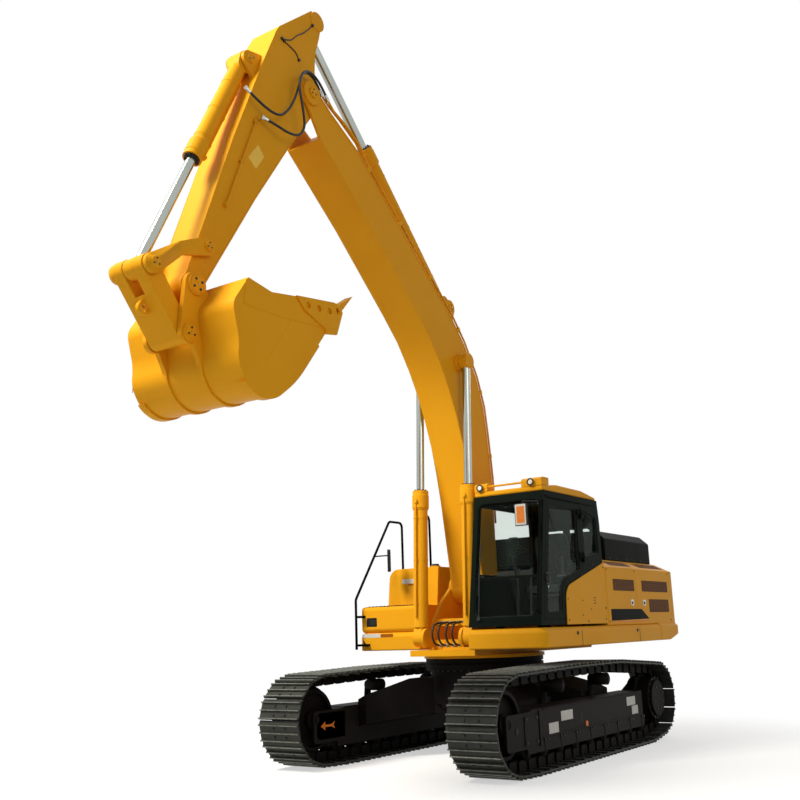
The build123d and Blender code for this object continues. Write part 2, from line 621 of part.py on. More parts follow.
def tool_box():
    """The step box at the right front: a low step and a rounded locker over it."""
    x0, x1 = TANK_X[1] + 62, FRONT_RIGHT_X - 15
    bottom = SILL_TOP + SEAT_GAP
    locker = rounded([(x0, bottom), (x1, bottom), (x1, LOCKER_TOP), (x0, LOCKER_TOP)], 60)
    body = slab(MACHINE, locker, -TANK_SIDE, -560)
    body += block(x0 + 5, FRONT_RIGHT_X - SILL_WIDTH - 5, -HALF_WIDTH + SILL_WIDTH + 10, -560,
                  ON_DECK, SILL_TOP + 100)
    return body


def tube(points, radius, bend):
    """A bent tube through the points."""
    path = FilletPolyline(*points, radius=bend)
    start = path @ 0
    profile = Plane(origin=start, z_dir=path % 0) * Circle(radius)
    return sweep(profile, path=path)


def handrails():
    """The black tube rails of the right side steps."""
    y = -TANK_SIDE - RAIL_TUBE - SEAT_GAP
    x = FRONT_RIGHT_X + 90
    front = tube([(x, y, SILL_BOTTOM + 20), (x, y, 1960), (20, y, 3060),
                  (-290, y, 3060), (-290, y, TANK_TOP - 300)], RAIL_TUBE, 70)
    front += block(FRONT_RIGHT_X + SEAT_GAP, x, y, -HALF_WIDTH + 200, SILL_BOTTOM + 60, SILL_BOTTOM + 90)
    front += block(FRONT_RIGHT_X - 15 + SEAT_GAP, x, y, -TANK_SIDE + 60, 1720, 1750)
    y = -TANK_SIDE + 165
    rear = tube([(-430, y, TANK_TOP + SEAT_GAP), (-430, y, 3180), (-740, y, 3180),
                 (-740, y, TANK_TOP + SEAT_GAP)], RAIL_TUBE, 70)
    return front + rear


# ---------------------------------------------------------------- cab
def cab_lean(z):
    """The x of the windscreen at a height."""
    return CAB_FRONT_X - CAB_RAKE * (z - CAB_BOTTOM) / (CAB_TOP - CAB_BOTTOM)


def cab_profile(inset=0.0):
    z0, z1 = CAB_BOTTOM + inset, CAB_TOP - inset
    return poly((CAB_REAR_X + inset, z0), (cab_lean(z0) - inset, z0), (cab_lean(z1) - inset, z1),
                (CAB_REAR_X + inset + 40, z1), (CAB_REAR_X + inset, z1 - 300))


def side_panel_outline():
    """Of the yellow panel on the cab's left wall: upright in front, then up to the cover behind."""
    rear = CAB_REAR_X - 15
    corner = (PANEL_FRONT_X - 25, CAB_BOTTOM + 440)
    shape = poly((rear, COVER_TOP - 70), (rear, CAB_BOTTOM), (PANEL_FRONT_X, CAB_BOTTOM), corner)
    return fillet(shape.vertices().sort_by_distance((*corner, 0))[0], 200)


def cab_side_panel():
    inner = CAB_LEFT_Y + SEAT_GAP
    return slab(MACHINE, side_panel_outline(), inner, inner + PANEL_THICKNESS)


def door_shape(grow=0.0):
    """The door's outline, cut away round the side panel."""
    z0, z1 = CAB_BOTTOM + 70 - grow, CAB_TOP - 90 + grow
    whole = poly((DOOR_X[0] - grow, z0), (cab_lean(z0) - 75 + grow, z0), (cab_lean(z1) - 75 + grow, z1),
                 (DOOR_X[0] - grow, z1))
    return whole - offset(side_panel_outline(), 2 * DOOR_GAP - grow)


def door_window():
    """The door's outline drawn in by its frame, with round corners."""
    return offset(offset(door_shape(), -78 - 45, kind=Kind.INTERSECTION), 45)


def quarter_window():
    """Of the fixed pane behind the door."""
    high = CAB_TOP - 150
    front = DOOR_X[0] - 90
    return rounded([(CAB_REAR_X + 90, COVER_TOP + 50), (front, COVER_TOP - 20), (front, high),
                    (CAB_REAR_X + 110, high - 90)], 45)


def right_window():
    low, high = CAB_BOTTOM + 620, CAB_TOP - 110
    return rounded([(CAB_REAR_X + 150, low), (cab_lean(low) - 110, low), (cab_lean(high) - 110, high),
                    (CAB_REAR_X + 150, high)], 60)


def screen_opening():
    """Of the windscreen, seen from the front."""
    middle = (CAB_RIGHT_Y + CAB_LEFT_Y) / 2
    low, high = CAB_BOTTOM + 110, CAB_TOP - 90
    return Pos(middle, (low + high) / 2) * RectangleRounded(CAB_LEFT_Y - CAB_RIGHT_Y - 130, high - low, 90)


def rear_opening():
    middle = (CAB_RIGHT_Y + CAB_LEFT_Y) / 2
    low, high = CAB_BOTTOM + 900, CAB_TOP - 340
    return Pos(middle, (low + high) / 2) * RectangleRounded(CAB_LEFT_Y - CAB_RIGHT_Y - 240, high - low, 60)


def across(shape, x_low, x_high):
    """A piece as drawn in a front view, from x_low to x_high."""
    return extrude(Plane.YZ.offset(x_low) * shape, amount=x_high - x_low)


def cab_shell():
    """The hollow cab: floor, roof, posts and walls, with the window and door openings cut through."""
    shell = slab(MACHINE, cab_profile(), CAB_RIGHT_Y, CAB_LEFT_Y)
    shell -= slab(MACHINE, cab_profile(WALL), CAB_RIGHT_Y + WALL, CAB_LEFT_Y - WALL)
    shell -= across(screen_opening(), CAB_FRONT_X - 500, CAB_FRONT_X + 100)
    shell -= across(rear_opening(), CAB_REAR_X - 100, CAB_REAR_X + 200)
    shell -= slab(MACHINE, right_window(), CAB_RIGHT_Y - 10, CAB_RIGHT_Y + WALL + 10)
    shell -= slab(MACHINE, quarter_window() + door_shape(DOOR_GAP), CAB_LEFT_Y - WALL - 10, CAB_LEFT_Y + 10)
    for z in HINGE_Z:
        knuckle = Pos(HINGE_X, HINGE_Y, z - 30) * Cylinder(HINGE_RADIUS, 60 - SEAT_GAP)
        knuckle += block(HINGE_X - 80, HINGE_X, CAB_LEFT_Y - 2, HINGE_Y, z - 55, z - 5)
        shell += knuckle + Pos(HINGE_X, HINGE_Y, z + 5) * Cylinder(HINGE_PIN, 130)
    return shell


def cab_door():
    """The door, as thick as the wall, with its window and hinge knuckles."""
    door = slab(MACHINE, door_shape(), CAB_LEFT_Y - WALL, CAB_LEFT_Y)
    door -= slab(MACHINE, door_window(), CAB_LEFT_Y - WALL - 10, CAB_LEFT_Y + 10)
    for z in HINGE_Z:
        door += Pos(HINGE_X, HINGE_Y, z + 30) * Cylinder(HINGE_RADIUS, 60)
        door += block(HINGE_X, HINGE_X + 70, CAB_LEFT_Y - 2, HINGE_Y, z + 5, z + 55)
        door -= Pos(HINGE_X, HINGE_Y, z + 30) * Cylinder(HINGE_PIN + PIN_GAP, 80)
    return door


def cab_roof():
    """The crowned roof panel, falling to the back."""
    section = poly((CAB_REAR_X + 45, CAB_TOP + SEAT_GAP), (cab_lean(CAB_TOP) + 10, CAB_TOP + SEAT_GAP),
                   (cab_lean(CAB_TOP) + 10, CAB_TOP + 60), (500, CAB_TOP + 100), (-200, CAB_TOP + 95),
                   (CAB_REAR_X + 60, CAB_TOP + 40))
    roof = slab(MACHINE, section, CAB_RIGHT_Y + 10, CAB_LEFT_Y - 10)
    return roof


def cab_glass():
    """The panes, set in the middle of their walls."""
    depth = WALL / 2
    low, high = CAB_BOTTOM, CAB_TOP
    foot, head = cab_lean(low) - depth, cab_lean(high) - depth
    leaning = poly((foot - GLASS, low), (foot, low), (head, high), (head - GLASS, high))
    screen = slab(MACHINE, leaning, CAB_RIGHT_Y, CAB_LEFT_Y)
    screen &= across(screen_opening(), CAB_FRONT_X - 500, CAB_FRONT_X + 100)
    rear = across(rear_opening(), CAB_REAR_X + depth, CAB_REAR_X + depth + GLASS)
    right = slab(MACHINE, right_window(), CAB_RIGHT_Y + depth, CAB_RIGHT_Y + depth + GLASS)
    left = slab(MACHINE, quarter_window(), CAB_LEFT_Y - depth - GLASS, CAB_LEFT_Y - depth)
    return screen + rear + right + left


def door_glass():
    return slab(MACHINE, door_window(), CAB_LEFT_Y - WALL / 2 - GLASS, CAB_LEFT_Y - WALL / 2)


def roof_lamps():
    """The two lamp boxes on the roof's front corners, with their lamps, and the bar between them."""
    front = cab_lean(CAB_TOP) + 10
    fall = 40 / (front - 500)
    foot = CAB_TOP + 60 + SEAT_GAP + 0.2
    side = poly((front, foot), (front, foot + 80), (front - 40, foot + 105), (front - 190, foot + 105),
                (front - 190, foot + 190 * fall))
    lamps = Part()
    for y0, y1 in ((CAB_RIGHT_Y + 15, CAB_RIGHT_Y + 195), (CAB_LEFT_Y - 290, CAB_LEFT_Y - 15)):
        lamps += slab(MACHINE, side, y0, y1)
        lamps += Pos(front - 10, (y0 + y1) / 2, foot + 48) * Rot(0, 90, 0) * Cylinder(40, 60)
    return lamps + drum(front - 25, foot + 60, 13, CAB_RIGHT_Y + 190, CAB_LEFT_Y - 285)


def mirror_left():
    """The mirror held out in front of the cab's left post."""
    z = CAB_TOP - 160
    out = Vector(CAB_TOP - CAB_BOTTOM, 0, CAB_RAKE).normalized()
    start = Vector(cab_lean(z), CAB_LEFT_Y - 35, z) + out * SEAT_GAP
    second = start + out * 90
    arm_points = [tuple(start), tuple(second), (1140, 1300, z + 20), (1140, 1275, z - 60)]
    shape = rounded([(1120, z - 270), (1160, z - 270), (1160, z - 10), (1120, z - 10)], 12)
    return tube(arm_points, 9, 25) + slab(MACHINE, shape, 1195, 1350)


def mirror_right():
    """The mirror on the sloping rail over the right steps."""
    y = -TANK_SIDE + 235
    head = Pos(360, y, 2480) * Rot(0, 0, 30) * Box(40, 180, 300)
    stay = tube([(396, -TANK_SIDE + 0.7, 2550), (385, y - 130, 2550), (360, y, 2550)], 9, 40)
    return head + stay


def cab_mounts():
    """The four rubber feet between the cab and the deck."""
    feet = Part()
    for x in (CAB_REAR_X + 120, 560):
        for y in (CAB_RIGHT_Y + 90, HALF_WIDTH - SILL_WIDTH - 90):
            feet += Pos(x, y, ON_DECK) * Cylinder(55, CAB_BOTTOM - SEAT_GAP - ON_DECK, align=ON_BASE)
    return feet


def seat():
    """The operator's seat on its box."""
    floor = CAB_BOTTOM + WALL
    y0, y1 = (CAB_RIGHT_Y + CAB_LEFT_Y) / 2 - 250, (CAB_RIGHT_Y + CAB_LEFT_Y) / 2 + 250
    base = block(-330, 60, y0 + 60, y1 - 60, floor + SEAT_GAP, floor + 330)
    top = floor + 330
    cushion = rounded([(-380, top), (130, top), (150, top + 150), (-380, top + 120)], 40)
    back = rounded([(-400, top + 110), (-260, top + 110), (-340, top + 800), (-450, top + 800)], 40)
    return base + slab(MACHINE, cushion, y0, y1) + slab(MACHINE, back, y0 + 20, y1 - 20)


def consoles():
    """The two arm pods with their levers, and the travel pedals with theirs."""
    floor = CAB_BOTTOM + WALL
    foot = floor + SEAT_GAP
    middle = (CAB_RIGHT_Y + CAB_LEFT_Y) / 2
    body = Part()
    for side in (-1, 1):
        y = middle + side * 330
        pod = rounded([(-330, foot), (60, foot), (260, floor + 560), (-330, floor + 600)], 30)
        body += slab(MACHINE, pod, y - 60, y + 60)
        body += bar((190, y, floor + 540), (215, y, floor + 790), 22)
        y = middle + side * 90
        body += bar((640, y, floor + 30), (560, y, floor + 640), 14)
        body += block(600, 760, y - 50, y + 50, foot, floor + 60)
    return body


# ---------------------------------------------------------------- boom
def boom():
    """The welded box boom: banana-shaped side plates, a fork at the tip and the cylinder bosses."""
    side = poly(*BOOM_LOWER, *BOOM_UPPER)
    side += disc((0, 0), 190)
    body = slab(BOOM, side, -BOOM_HALF, BOOM_HALF)
    body += slab(BOOM, disc((0, 0), 190), -BRACKET_INNER + 5, BRACKET_INNER - 5)
    slot = poly((5960, -400), (6800, -400), (6800, 700), (6080, 700))
    body -= slab(BOOM, slot, -BOOM_EARS_INNER, BOOM_EARS_INNER)
    tip = (BOOM_LENGTH, 0)
    fork = disc(tip, 150) + hull_bar((5900, 190), tip, 200, 150)
    body += both_slabs(BOOM, fork, BOOM_EARS_INNER, BOOM_HALF)
    body += both_slabs(BOOM, disc(tip, 140), BOOM_EARS_INNER, BOOM_EARS_OUTER)
    boss_end = BOOM_CYLINDER_Y - EYE_HALF - SIDE_GAP
    body += both_slabs(BOOM, disc(BOOM_CYLINDER_EYE, 118), BOOM_HALF - 5, boss_end)
    foot = ARM_CYLINDER_FOOT
    ear = hull_bar(foot, (foot[0] - 60, foot[1] - 300), 105, 230)
    body += both_slabs(BOOM, ear, ARM_BARREL + SIDE_GAP, ARM_BARREL + SIDE_GAP + 42)
    body -= slab(BOOM, disc((0, 0), PIN_LARGE + PIN_GAP), -400, 400)
    body += slab(BOOM, disc(tip, PIN_LARGE), -BOOM_EARS_OUTER - 14, BOOM_EARS_OUTER + 14)
    body += slab(BOOM, disc(foot, PIN_SMALL), -ARM_BARREL - 60, ARM_BARREL + 60)
    return body


def boom_pipes():
    """Two pipes on each side of the boom's top plate, in brackets; the left pair turns out at the tip."""
    route = [(587, 651), (1103, 972), (1635, 1231), (1985, 1383), (2395, 1464), (2912, 1457), (3345, 1378),
             (5500, 668)]
    pipes = Part()
    for y, end in ((190, [(5800, 562, 240), (6120, 388, 240), (6307, 266, 240), (6430, 217, 240)]),
                   (228, [(5780, 572, 270), (6060, 420, 270), (6235, 290, 270), (6357, 253.5, 270)]),
                   (-190, [(5640, 622, -190)]), (-228, [(5640, 622, -228)])):
        points = [spot_across(BOOM, u, v, y) for u, v in route]
        points += [spot_across(BOOM, u, v, end_y) for u, v, end_y in end]
        pipes += tube(points, PIPE, 55)
    line = list(reversed(BOOM_UPPER))
    for u in (800, 1400, 2200, 2650, 3100, 3900, 4700, 5450):
        pair = next((a, b) for a, b in zip(line, line[1:]) if a[0] <= u < b[0])
        slope = atan2(pair[1][1] - pair[0][1], pair[1][0] - pair[0][0])
        v = pair[0][1] + (u - pair[0][0]) * (pair[1][1] - pair[0][1]) / (pair[1][0] - pair[0][0])
        plane = side_plane(*spot(BOOM, u, v), BOOM_ANGLE + degrees(slope))
        low, high = SEAT_GAP, PIPE_STAND_OFF + 20
        clip = poly((-22, low), (22, low), (22, high), (-22, high))
        pipes += both_slabs(plane, clip, 170, BOOM_HALF)
    return pipes


def spot_across(plane, u, v, y):
    """A point in a side plane's own axes and across the machine."""
    x, z = spot(plane, u, v)
    return x, y, z


def arm_hose(points):
    """A hose that hangs free between the boom's pipes and the arm."""
    return tube_of([spot_across(ARM, *point) for point in points], HOSE)


def front_hose(y):
    """A hose that hangs in a loop from the block between the boom brackets to the plate under it."""
    top = (MANIFOLD_Z[0] + MANIFOLD_Z[1]) / 2
    low = top - 2 * FRONT_HOSE_BEND
    middle = 870.0
    turns = [middle + FRONT_HOSE_BEND * tan_half for tan_half in (0.414, 1.0)]
    drop = 0.586 * FRONT_HOSE_BEND
    points = [(MANIFOLD_X[1] + SEAT_GAP, y, top), (turns[0], y, top), (turns[1], y, top - drop),
              (turns[1], y, low + drop), (turns[0], y, low), (790 + SEAT_GAP, y, low)]
    return tube_of(points, FRONT_HOSE)


def tube_of(points, radius):
    """A hose through the points, each corner as wide as its runs let it be."""
    bends = widest_bends(points)
    print("hose bends from", round(min(bends)), "mm")
    path = FilletPolyline(*points, radius=bends)
    return sweep(Plane(origin=path @ 0, z_dir=path % 0) * Circle(radius), path=path)


# ---------------------------------------------------------------- arm and bucket linkage
def arm():
    """The arm: a tapered box with its crowd bracket behind the pivot and the bucket pin boss at its end."""
    end = ARM_LENGTH
    side = poly((-130, -150), (150, -185), (450, -165), (874, -135), (end * 0.56, -105), (end - 67, -108),
                (end + 73, 60), (end - 47, 120), (end * 0.45, 472), (311, 662), (-182, 729), (-300, 730),
                (-1010, 520), (-1075, 330), (-820, 245), (-582, 185), (-371, 70))
    side += disc((0, 0), 190) + disc((ARM_LENGTH, 0), 130)
    body = slab(ARM, side, -ARM_HALF, ARM_HALF)
    slot = poly((-1400, -100), (-560, -100), (-360, 640), (-360, 900), (-1400, 900))
    body -= slab(ARM, slot, -ARM_HALF + 42, ARM_HALF - 42)
    eye = ARM_CYLINDER_EYE
    body += both_slabs(ARM, disc(eye, 118), EYE_HALF + SIDE_GAP, ARM_HALF + 12)
    foot = BUCKET_CYLINDER_FOOT
    ear = hull_bar(foot, (foot[0] - 40, foot[1] - 200), 95, 200)
    body += both_slabs(ARM, ear, BUCKET_BARREL + SIDE_GAP, BUCKET_BARREL + SIDE_GAP + 40)
    body += slab(ARM, disc(foot, PIN_SMALL), -BUCKET_BARREL - 60, BUCKET_BARREL + 60)
    body -= slab(ARM, disc((0, 0), PIN_LARGE + PIN_GAP), -400, 400)
    body -= slab(ARM, disc((ARM_LENGTH, 0), PIN_SMALL + PIN_GAP), -400, 400)
    body += slab(ARM, disc(GUIDE_PIVOT, PIN_SMALL), -LINK_OUTER - 16, LINK_OUTER + 16)
    body += slab(ARM, disc(ARM_HOSES["arm_hose_2"][-1][:2], 26), ARM_HALF - 2, ARM_HALF + 28)
    return body


def arm_pipe():
    """The grease pipe along the arm's left side, with its clips."""
    y = ARM_HALF + 26
    start = (1010.0, 372.0)
    end = (2230.0, 146.0)
    pipe = bar(spot_across(ARM, *start, y), spot_across(ARM, *end, y), 11)
    for share in (0.04, 0.5, 0.98):
        u, v = start[0] + share * (end[0] - start[0]), start[1] + share * (end[1] - start[1])
        pipe += slab(ARM, Pos(u, v) * Rectangle(50, 44), ARM_HALF + SEAT_GAP, y + 4)
    return pipe


def guide_links():
    """The two curved links that guide the cylinder's eye."""
    middle = ((GUIDE_PIVOT[0] + LINK_JOINT[0]) / 2 - 45, (GUIDE_PIVOT[1] + LINK_JOINT[1]) / 2 + 40)
    shape = hull_bar(GUIDE_PIVOT, middle, 92, 62) + hull_bar(middle, LINK_JOINT, 62, 95)
    shape -= disc(GUIDE_PIVOT, PIN_SMALL + PIN_GAP)
    body = both_slabs(ARM, shape, LINK_INNER, LINK_OUTER)
    return body + both_slabs(ARM, disc(LINK_JOINT, 62), LINK_OUTER, LINK_OUTER + 22)


def bucket_link():
    """The H-shaped link from the cylinder's eye to the bucket, with a lifting eye on its front."""
    line = (BUCKET_SECOND_PIN[0] - LINK_JOINT[0], BUCKET_SECOND_PIN[1] - LINK_JOINT[1])
    length = hypot(*line)
    plane = side_plane(*spot(ARM, *LINK_JOINT), ARM_ANGLE + degrees(atan2(line[1], line[0])))
    shape = hull_bar((0, 0), (length, 0), 105, 92)
    body = slab(plane, shape, -ARM_HALF, ARM_HALF)
    slot = poly((-200, -200), (230, -200), (230, 200), (-200, 200))
    body -= slab(plane, slot, -EYE_HALF - SIDE_GAP, EYE_HALF + SIDE_GAP)
    body -= slab(plane, disc((length, 0), PIN_SMALL + PIN_GAP), -400, 400)
    lug = hull_bar((335, 60), LIFT_PLACE, 85, 66) - disc(LIFT_PLACE, LIFT_HOLE)
    return body + slab(plane, lug, -22, 22)


def bucket_side(*mouth):
    """The bucket's side: its rolled back and floor, closed over the mouth through the points given."""
    rolled = FilletPolyline(*BUCKET_BACK, radius=widest_bends(BUCKET_BACK))
    closing = Polyline(BUCKET_BACK[-1], *mouth, BUCKET_BACK[0])
    return make_face([*rolled.edges(), *closing.edges()])


def bucket():
    """The digging bucket: side plates, rolled back and floor, side cutters, teeth and the hinge ears."""
    shape = bucket_side((1440, 150), (864, 110), (520, 110))
    sides = slab(BUCKET, shape, -BUCKET_HALF, BUCKET_HALF)
    hollow = offset(bucket_side((1600, 60), (1500, -60), (200, -60)), -BUCKET_PLATE, kind=Kind.INTERSECTION)
    hollow += poly((260, 90), (1490, 150), (1480, -100), (250, -100))
    body = sides - slab(BUCKET, hollow, -BUCKET_HALF + BUCKET_PLATE, BUCKET_HALF - BUCKET_PLATE)
    tooth = poly((1420, 205), (1500, 175), (1610, 95), (1821, 0), (1640, 150), (1500, 262), (1400, 300))
    for index in range(5):
        y = (index - 2) * (BUCKET_HALF - 70) / 2
        body += slab(BUCKET, tooth, y - 52, y + 52)
    cutter = poly((857, 108), (1440, 118), (1530, 150), (1560, 215), (1425, 455), (1262, 460), (1242, 400),
                  (960, 242))
    for centre in ((1015, 190), (1180, 205), (1345, 215), (1480, 205)):
        cutter -= disc(centre, 34)
    body += both_slabs(BUCKET, cutter, BUCKET_HALF - 1, BUCKET_HALF + 24)
    back = bucket_side((1440, 150), (520, 110))
    raised = offset(back, 20, kind=Kind.INTERSECTION) - offset(back, -4, kind=Kind.INTERSECTION)
    ribs = raised & poly((-120, 560), (20, 560), (700, 900), (560, 1300), (-120, 1300))
    heel = raised & poly((-100, 980), (60, 980), (1130, 560), (1200, 700), (560, 1300), (-100, 1300))
    body += both_slabs(BUCKET, ribs, LINK_INNER, LINK_OUTER)
    body += both_slabs(BUCKET, heel, BUCKET_HALF - 90, BUCKET_HALF)
    second = in_plane(BUCKET, spot(ARM, *BUCKET_SECOND_PIN))
    ear = hull_bar((0, 0), second, 128, 105)
    ear += poly((0, 0), (150, 60), (60, 240), (30, 420), (60, 640), (-20, 800), second)
    body += both_slabs(BUCKET, ear, LINK_INNER, LINK_OUTER)
    for centre, radius in (((0, 0), 105), (second, 84)):
        body += both_slabs(BUCKET, disc(centre, radius), LINK_OUTER, LINK_OUTER + 24)
        body += slab(BUCKET, disc(centre, PIN_SMALL), -LINK_OUTER, LINK_OUTER)
    return body


# ---------------------------------------------------------------- cylinders
def barrel(plane, foot, eye, y, radius, length, rod_radius, eye_half, neck):
    """A cylinder's tube with its foot eye and its gland, hollow from the gland inwards for the rod."""
    angle = degrees(atan2(eye[1] - foot[1], eye[0] - foot[0]))
    start = spot(plane, *foot)
    own = side_plane(*start, angle + plane_angle(plane))
    body = slab(own, hull_bar((0, 0), (neck, 0), radius + 14, eye_half), y - eye_half, y + eye_half)
    axis_start = Vector(start[0], y, start[1])
    along = own.x_dir
    pin = PIN_SMALL
    body += bar(tuple(axis_start + along * neck), tuple(axis_start + along * length), radius)
    body += bar(tuple(axis_start + along * (length - 130)), tuple(axis_start + along * length), radius + 12)
    bore = (tuple(axis_start + along * (radius + 70)), tuple(axis_start + along * (length + 10)))
    body -= bar(*bore, rod_radius + PIN_GAP)
    return body - slab(own, disc((0, 0), pin + PIN_GAP), y - 300, y + 300)


def rod(plane, foot, eye, y, radius, start_at):
    """The chromed rod and its eye, with the pin's end showing in the eye."""
    angle = degrees(atan2(eye[1] - foot[1], eye[0] - foot[0]))
    reach = hypot(eye[0] - foot[0], eye[1] - foot[1])
    start = spot(plane, *foot)
    own = side_plane(*start, angle + plane_angle(plane))
    along = own.x_dir
    origin = Vector(start[0], y, start[1])
    body = bar(tuple(origin + along * start_at), tuple(origin + along * (reach - 60)), radius)
    return body + slab(own, disc((reach, 0), radius + 50), y - EYE_HALF, y + EYE_HALF)


def plane_angle(plane):
    return degrees(atan2(plane.x_dir.Z, plane.x_dir.X))


BOOM_EYE = spot(BOOM, *BOOM_CYLINDER_EYE)
ARM_EYE = in_plane(BOOM, spot(ARM, *ARM_CYLINDER_EYE))
CYLINDERS = {
    # name: side plane, foot, eye, y places, barrel radius, barrel length, rod radius,
    #       half of foot eye, neck, length of rod inside the barrel
    "boom_cylinder": (MACHINE, BOOM_CYLINDER_FOOT, BOOM_EYE, (BOOM_CYLINDER_Y, -BOOM_CYLINDER_Y),
                      BOOM_BARREL, BOOM_BARREL_LENGTH, BOOM_ROD, EYE_HALF - 2, 130.0, 200.0),
    "arm_cylinder": (BOOM, ARM_CYLINDER_FOOT, ARM_EYE, (0.0,),
                     ARM_BARREL, ARM_BARREL_LENGTH, ARM_ROD, ARM_BARREL, 80.0, 600.0),
    "bucket_cylinder": (ARM, BUCKET_CYLINDER_FOOT, LINK_JOINT, (0.0,),
                        BUCKET_BARREL, BUCKET_BARREL_LENGTH, BUCKET_ROD, BUCKET_BARREL, 80.0, 180.0),
}


# ---------------------------------------------------------------- the nodes
def all_nodes():
    nodes = {"centre_frame": centre_frame(), "slewing_ring": slewing_ring()}
    for side, word in ((1, "left"), (-1, "right")):
        y = side * TRACK_GAUGE / 2
        nodes["track_" + word] = track(y)
        nodes["side_frame_" + word] = side_frame(y, side)
        nodes["idler_" + word] = idler(y)
        nodes["final_drive_" + word] = final_drive(y, side)
        nodes["lower_rollers_" + word] = lower_rollers(y)
        nodes["carrier_rollers_" + word] = carrier_rollers(y)
        nodes["sill_" + word] = sill(side)
        nodes["side_cover_" + word] = side_cover(side)
    nodes["main_deck"] = main_deck()
    nodes["counterweight"] = counterweight()
    nodes["engine_block"] = engine_block()
    nodes["engine_hood"] = engine_hood()
    nodes["fuel_tank"] = fuel_tank()
    nodes["tool_box"] = tool_box()
    nodes["handrails"] = handrails()
    nodes["cab_shell"] = cab_shell()
    nodes["cab_roof"] = cab_roof()
    nodes["cab_side_panel"] = cab_side_panel()
    nodes["roof_lamps"] = roof_lamps()
    nodes["mirror_left"] = mirror_left()
    nodes["mirror_right"] = mirror_right()
    nodes["exhaust_pipe"] = exhaust_pipe()
    nodes["cab_glass"] = cab_glass()
    nodes["cab_mounts"] = cab_mounts()
    nodes["cab_door"] = cab_door()
    nodes["door_glass"] = door_glass()
    nodes["operator_seat"] = seat()
    nodes["control_consoles"] = consoles()
    nodes["boom"] = boom()
    nodes["arm"] = arm()
    nodes["guide_links"] = guide_links()
    nodes["bucket_link"] = bucket_link()
    nodes["bucket"] = bucket()
    nodes["boom_pipes"] = boom_pipes()
    nodes["arm_pipe"] = arm_pipe()
    for name, points in ARM_HOSES.items():
        nodes[name] = arm_hose(points)
    for index, y in enumerate(FRONT_HOSE_Y):
        nodes[f"front_hose_{index + 1}"] = front_hose(y)
    for name, row in CYLINDERS.items():
        plane, foot, eye, places, radius, length, rod_radius, eye_half, neck, inside = row
        tubes = Part()
        rods = Part()
        for y in places:
            tubes += barrel(plane, foot, eye, y, radius, length, rod_radius, eye_half, neck)
            rods += rod(plane, foot, eye, y, rod_radius, length - inside)
        nodes[name + "_barrel"] = tubes
        nodes[name + "_rod"] = rods
    return nodes


for name, solid in all_nodes().items():
    export_step(solid, f"parts/{name}.step")
    print(name, round(solid.volume / 1e6, 1), "litres")
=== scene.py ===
# %% [markdown]
# # A crawler excavator in the studio
#
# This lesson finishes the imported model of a 36 tonne tracked excavator. The CAD pieces give the true shapes
# and the joints. Here they get broken edges, paint, chrome, glass and rubber, and the small things that a
# drawing leaves out: track shoes with their bolts, grilles, seals, pipes' clips, lamps and latches.
#
# Everything is in metres in the machine's own frame: +X forward, +Y to the cab's side, +Z up, with the
# origin on the swing axis at ground level. Lengths from the drawing are written in millimetres and pass
# through `MM`.

import json
import math

import bmesh
import bpy
from mathutils import Matrix, Vector


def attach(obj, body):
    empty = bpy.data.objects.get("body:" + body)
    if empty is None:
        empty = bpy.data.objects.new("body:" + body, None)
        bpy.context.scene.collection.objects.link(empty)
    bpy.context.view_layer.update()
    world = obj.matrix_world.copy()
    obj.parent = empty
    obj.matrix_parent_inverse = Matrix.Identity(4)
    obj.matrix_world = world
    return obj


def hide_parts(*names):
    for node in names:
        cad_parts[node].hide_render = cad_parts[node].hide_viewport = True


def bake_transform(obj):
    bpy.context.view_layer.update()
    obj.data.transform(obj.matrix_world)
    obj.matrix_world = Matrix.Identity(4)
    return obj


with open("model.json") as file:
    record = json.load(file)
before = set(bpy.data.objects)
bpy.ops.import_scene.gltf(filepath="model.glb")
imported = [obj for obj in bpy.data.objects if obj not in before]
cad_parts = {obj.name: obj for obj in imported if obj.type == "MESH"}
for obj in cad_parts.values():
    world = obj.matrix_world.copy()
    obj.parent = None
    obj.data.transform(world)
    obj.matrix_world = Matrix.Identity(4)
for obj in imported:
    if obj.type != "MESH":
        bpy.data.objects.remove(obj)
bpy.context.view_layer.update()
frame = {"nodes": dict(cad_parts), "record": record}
nodes = frame["nodes"]
record = frame["record"]
BODY_OF = {node: body for body, members in record["behaviour"]["bodies"].items() for node in members}
MM = 0.001

# %% [markdown]
# ## Where the long pieces lie
#
# Boom, arm and bucket are drawn in their own axes. A `Side` plane turns a point (u along, v square to it, y
# across) into the machine's frame, so that a clip on the boom is placed by how far it lies along the boom.


# %% Side planes
class Side:
    """A side view's own axes: origin (x, z) in mm and the angle of its first axis above +X."""

    def __init__(self, x, z, angle):
        turn = math.radians(angle)
        self.origin = Vector((x * MM, 0, z * MM))
        self.along = Vector((math.cos(turn), 0, math.sin(turn)))
        self.up = Vector((-math.sin(turn), 0, math.cos(turn)))

    def at(self, u, v, y=0.0):
        return self.origin + (self.along * u + self.up * v) * MM + Vector((0, y * MM, 0))


BOOM_LENGTH, ARM_LENGTH = 6486, 3247
MACHINE = Side(0, 0, 0)
BOOM = Side(150, 2050, 57.2)
tip = BOOM.at(BOOM_LENGTH, 0)
ARM = Side(tip.x / MM, tip.z / MM, -58.7)
wrist = ARM.at(ARM_LENGTH, 0)
BUCKET = Side(wrist.x / MM, wrist.z / MM, 171.4)
print("boom tip", [round(c, 3) for c in tip], "bucket pin", [round(c, 3) for c in wrist])

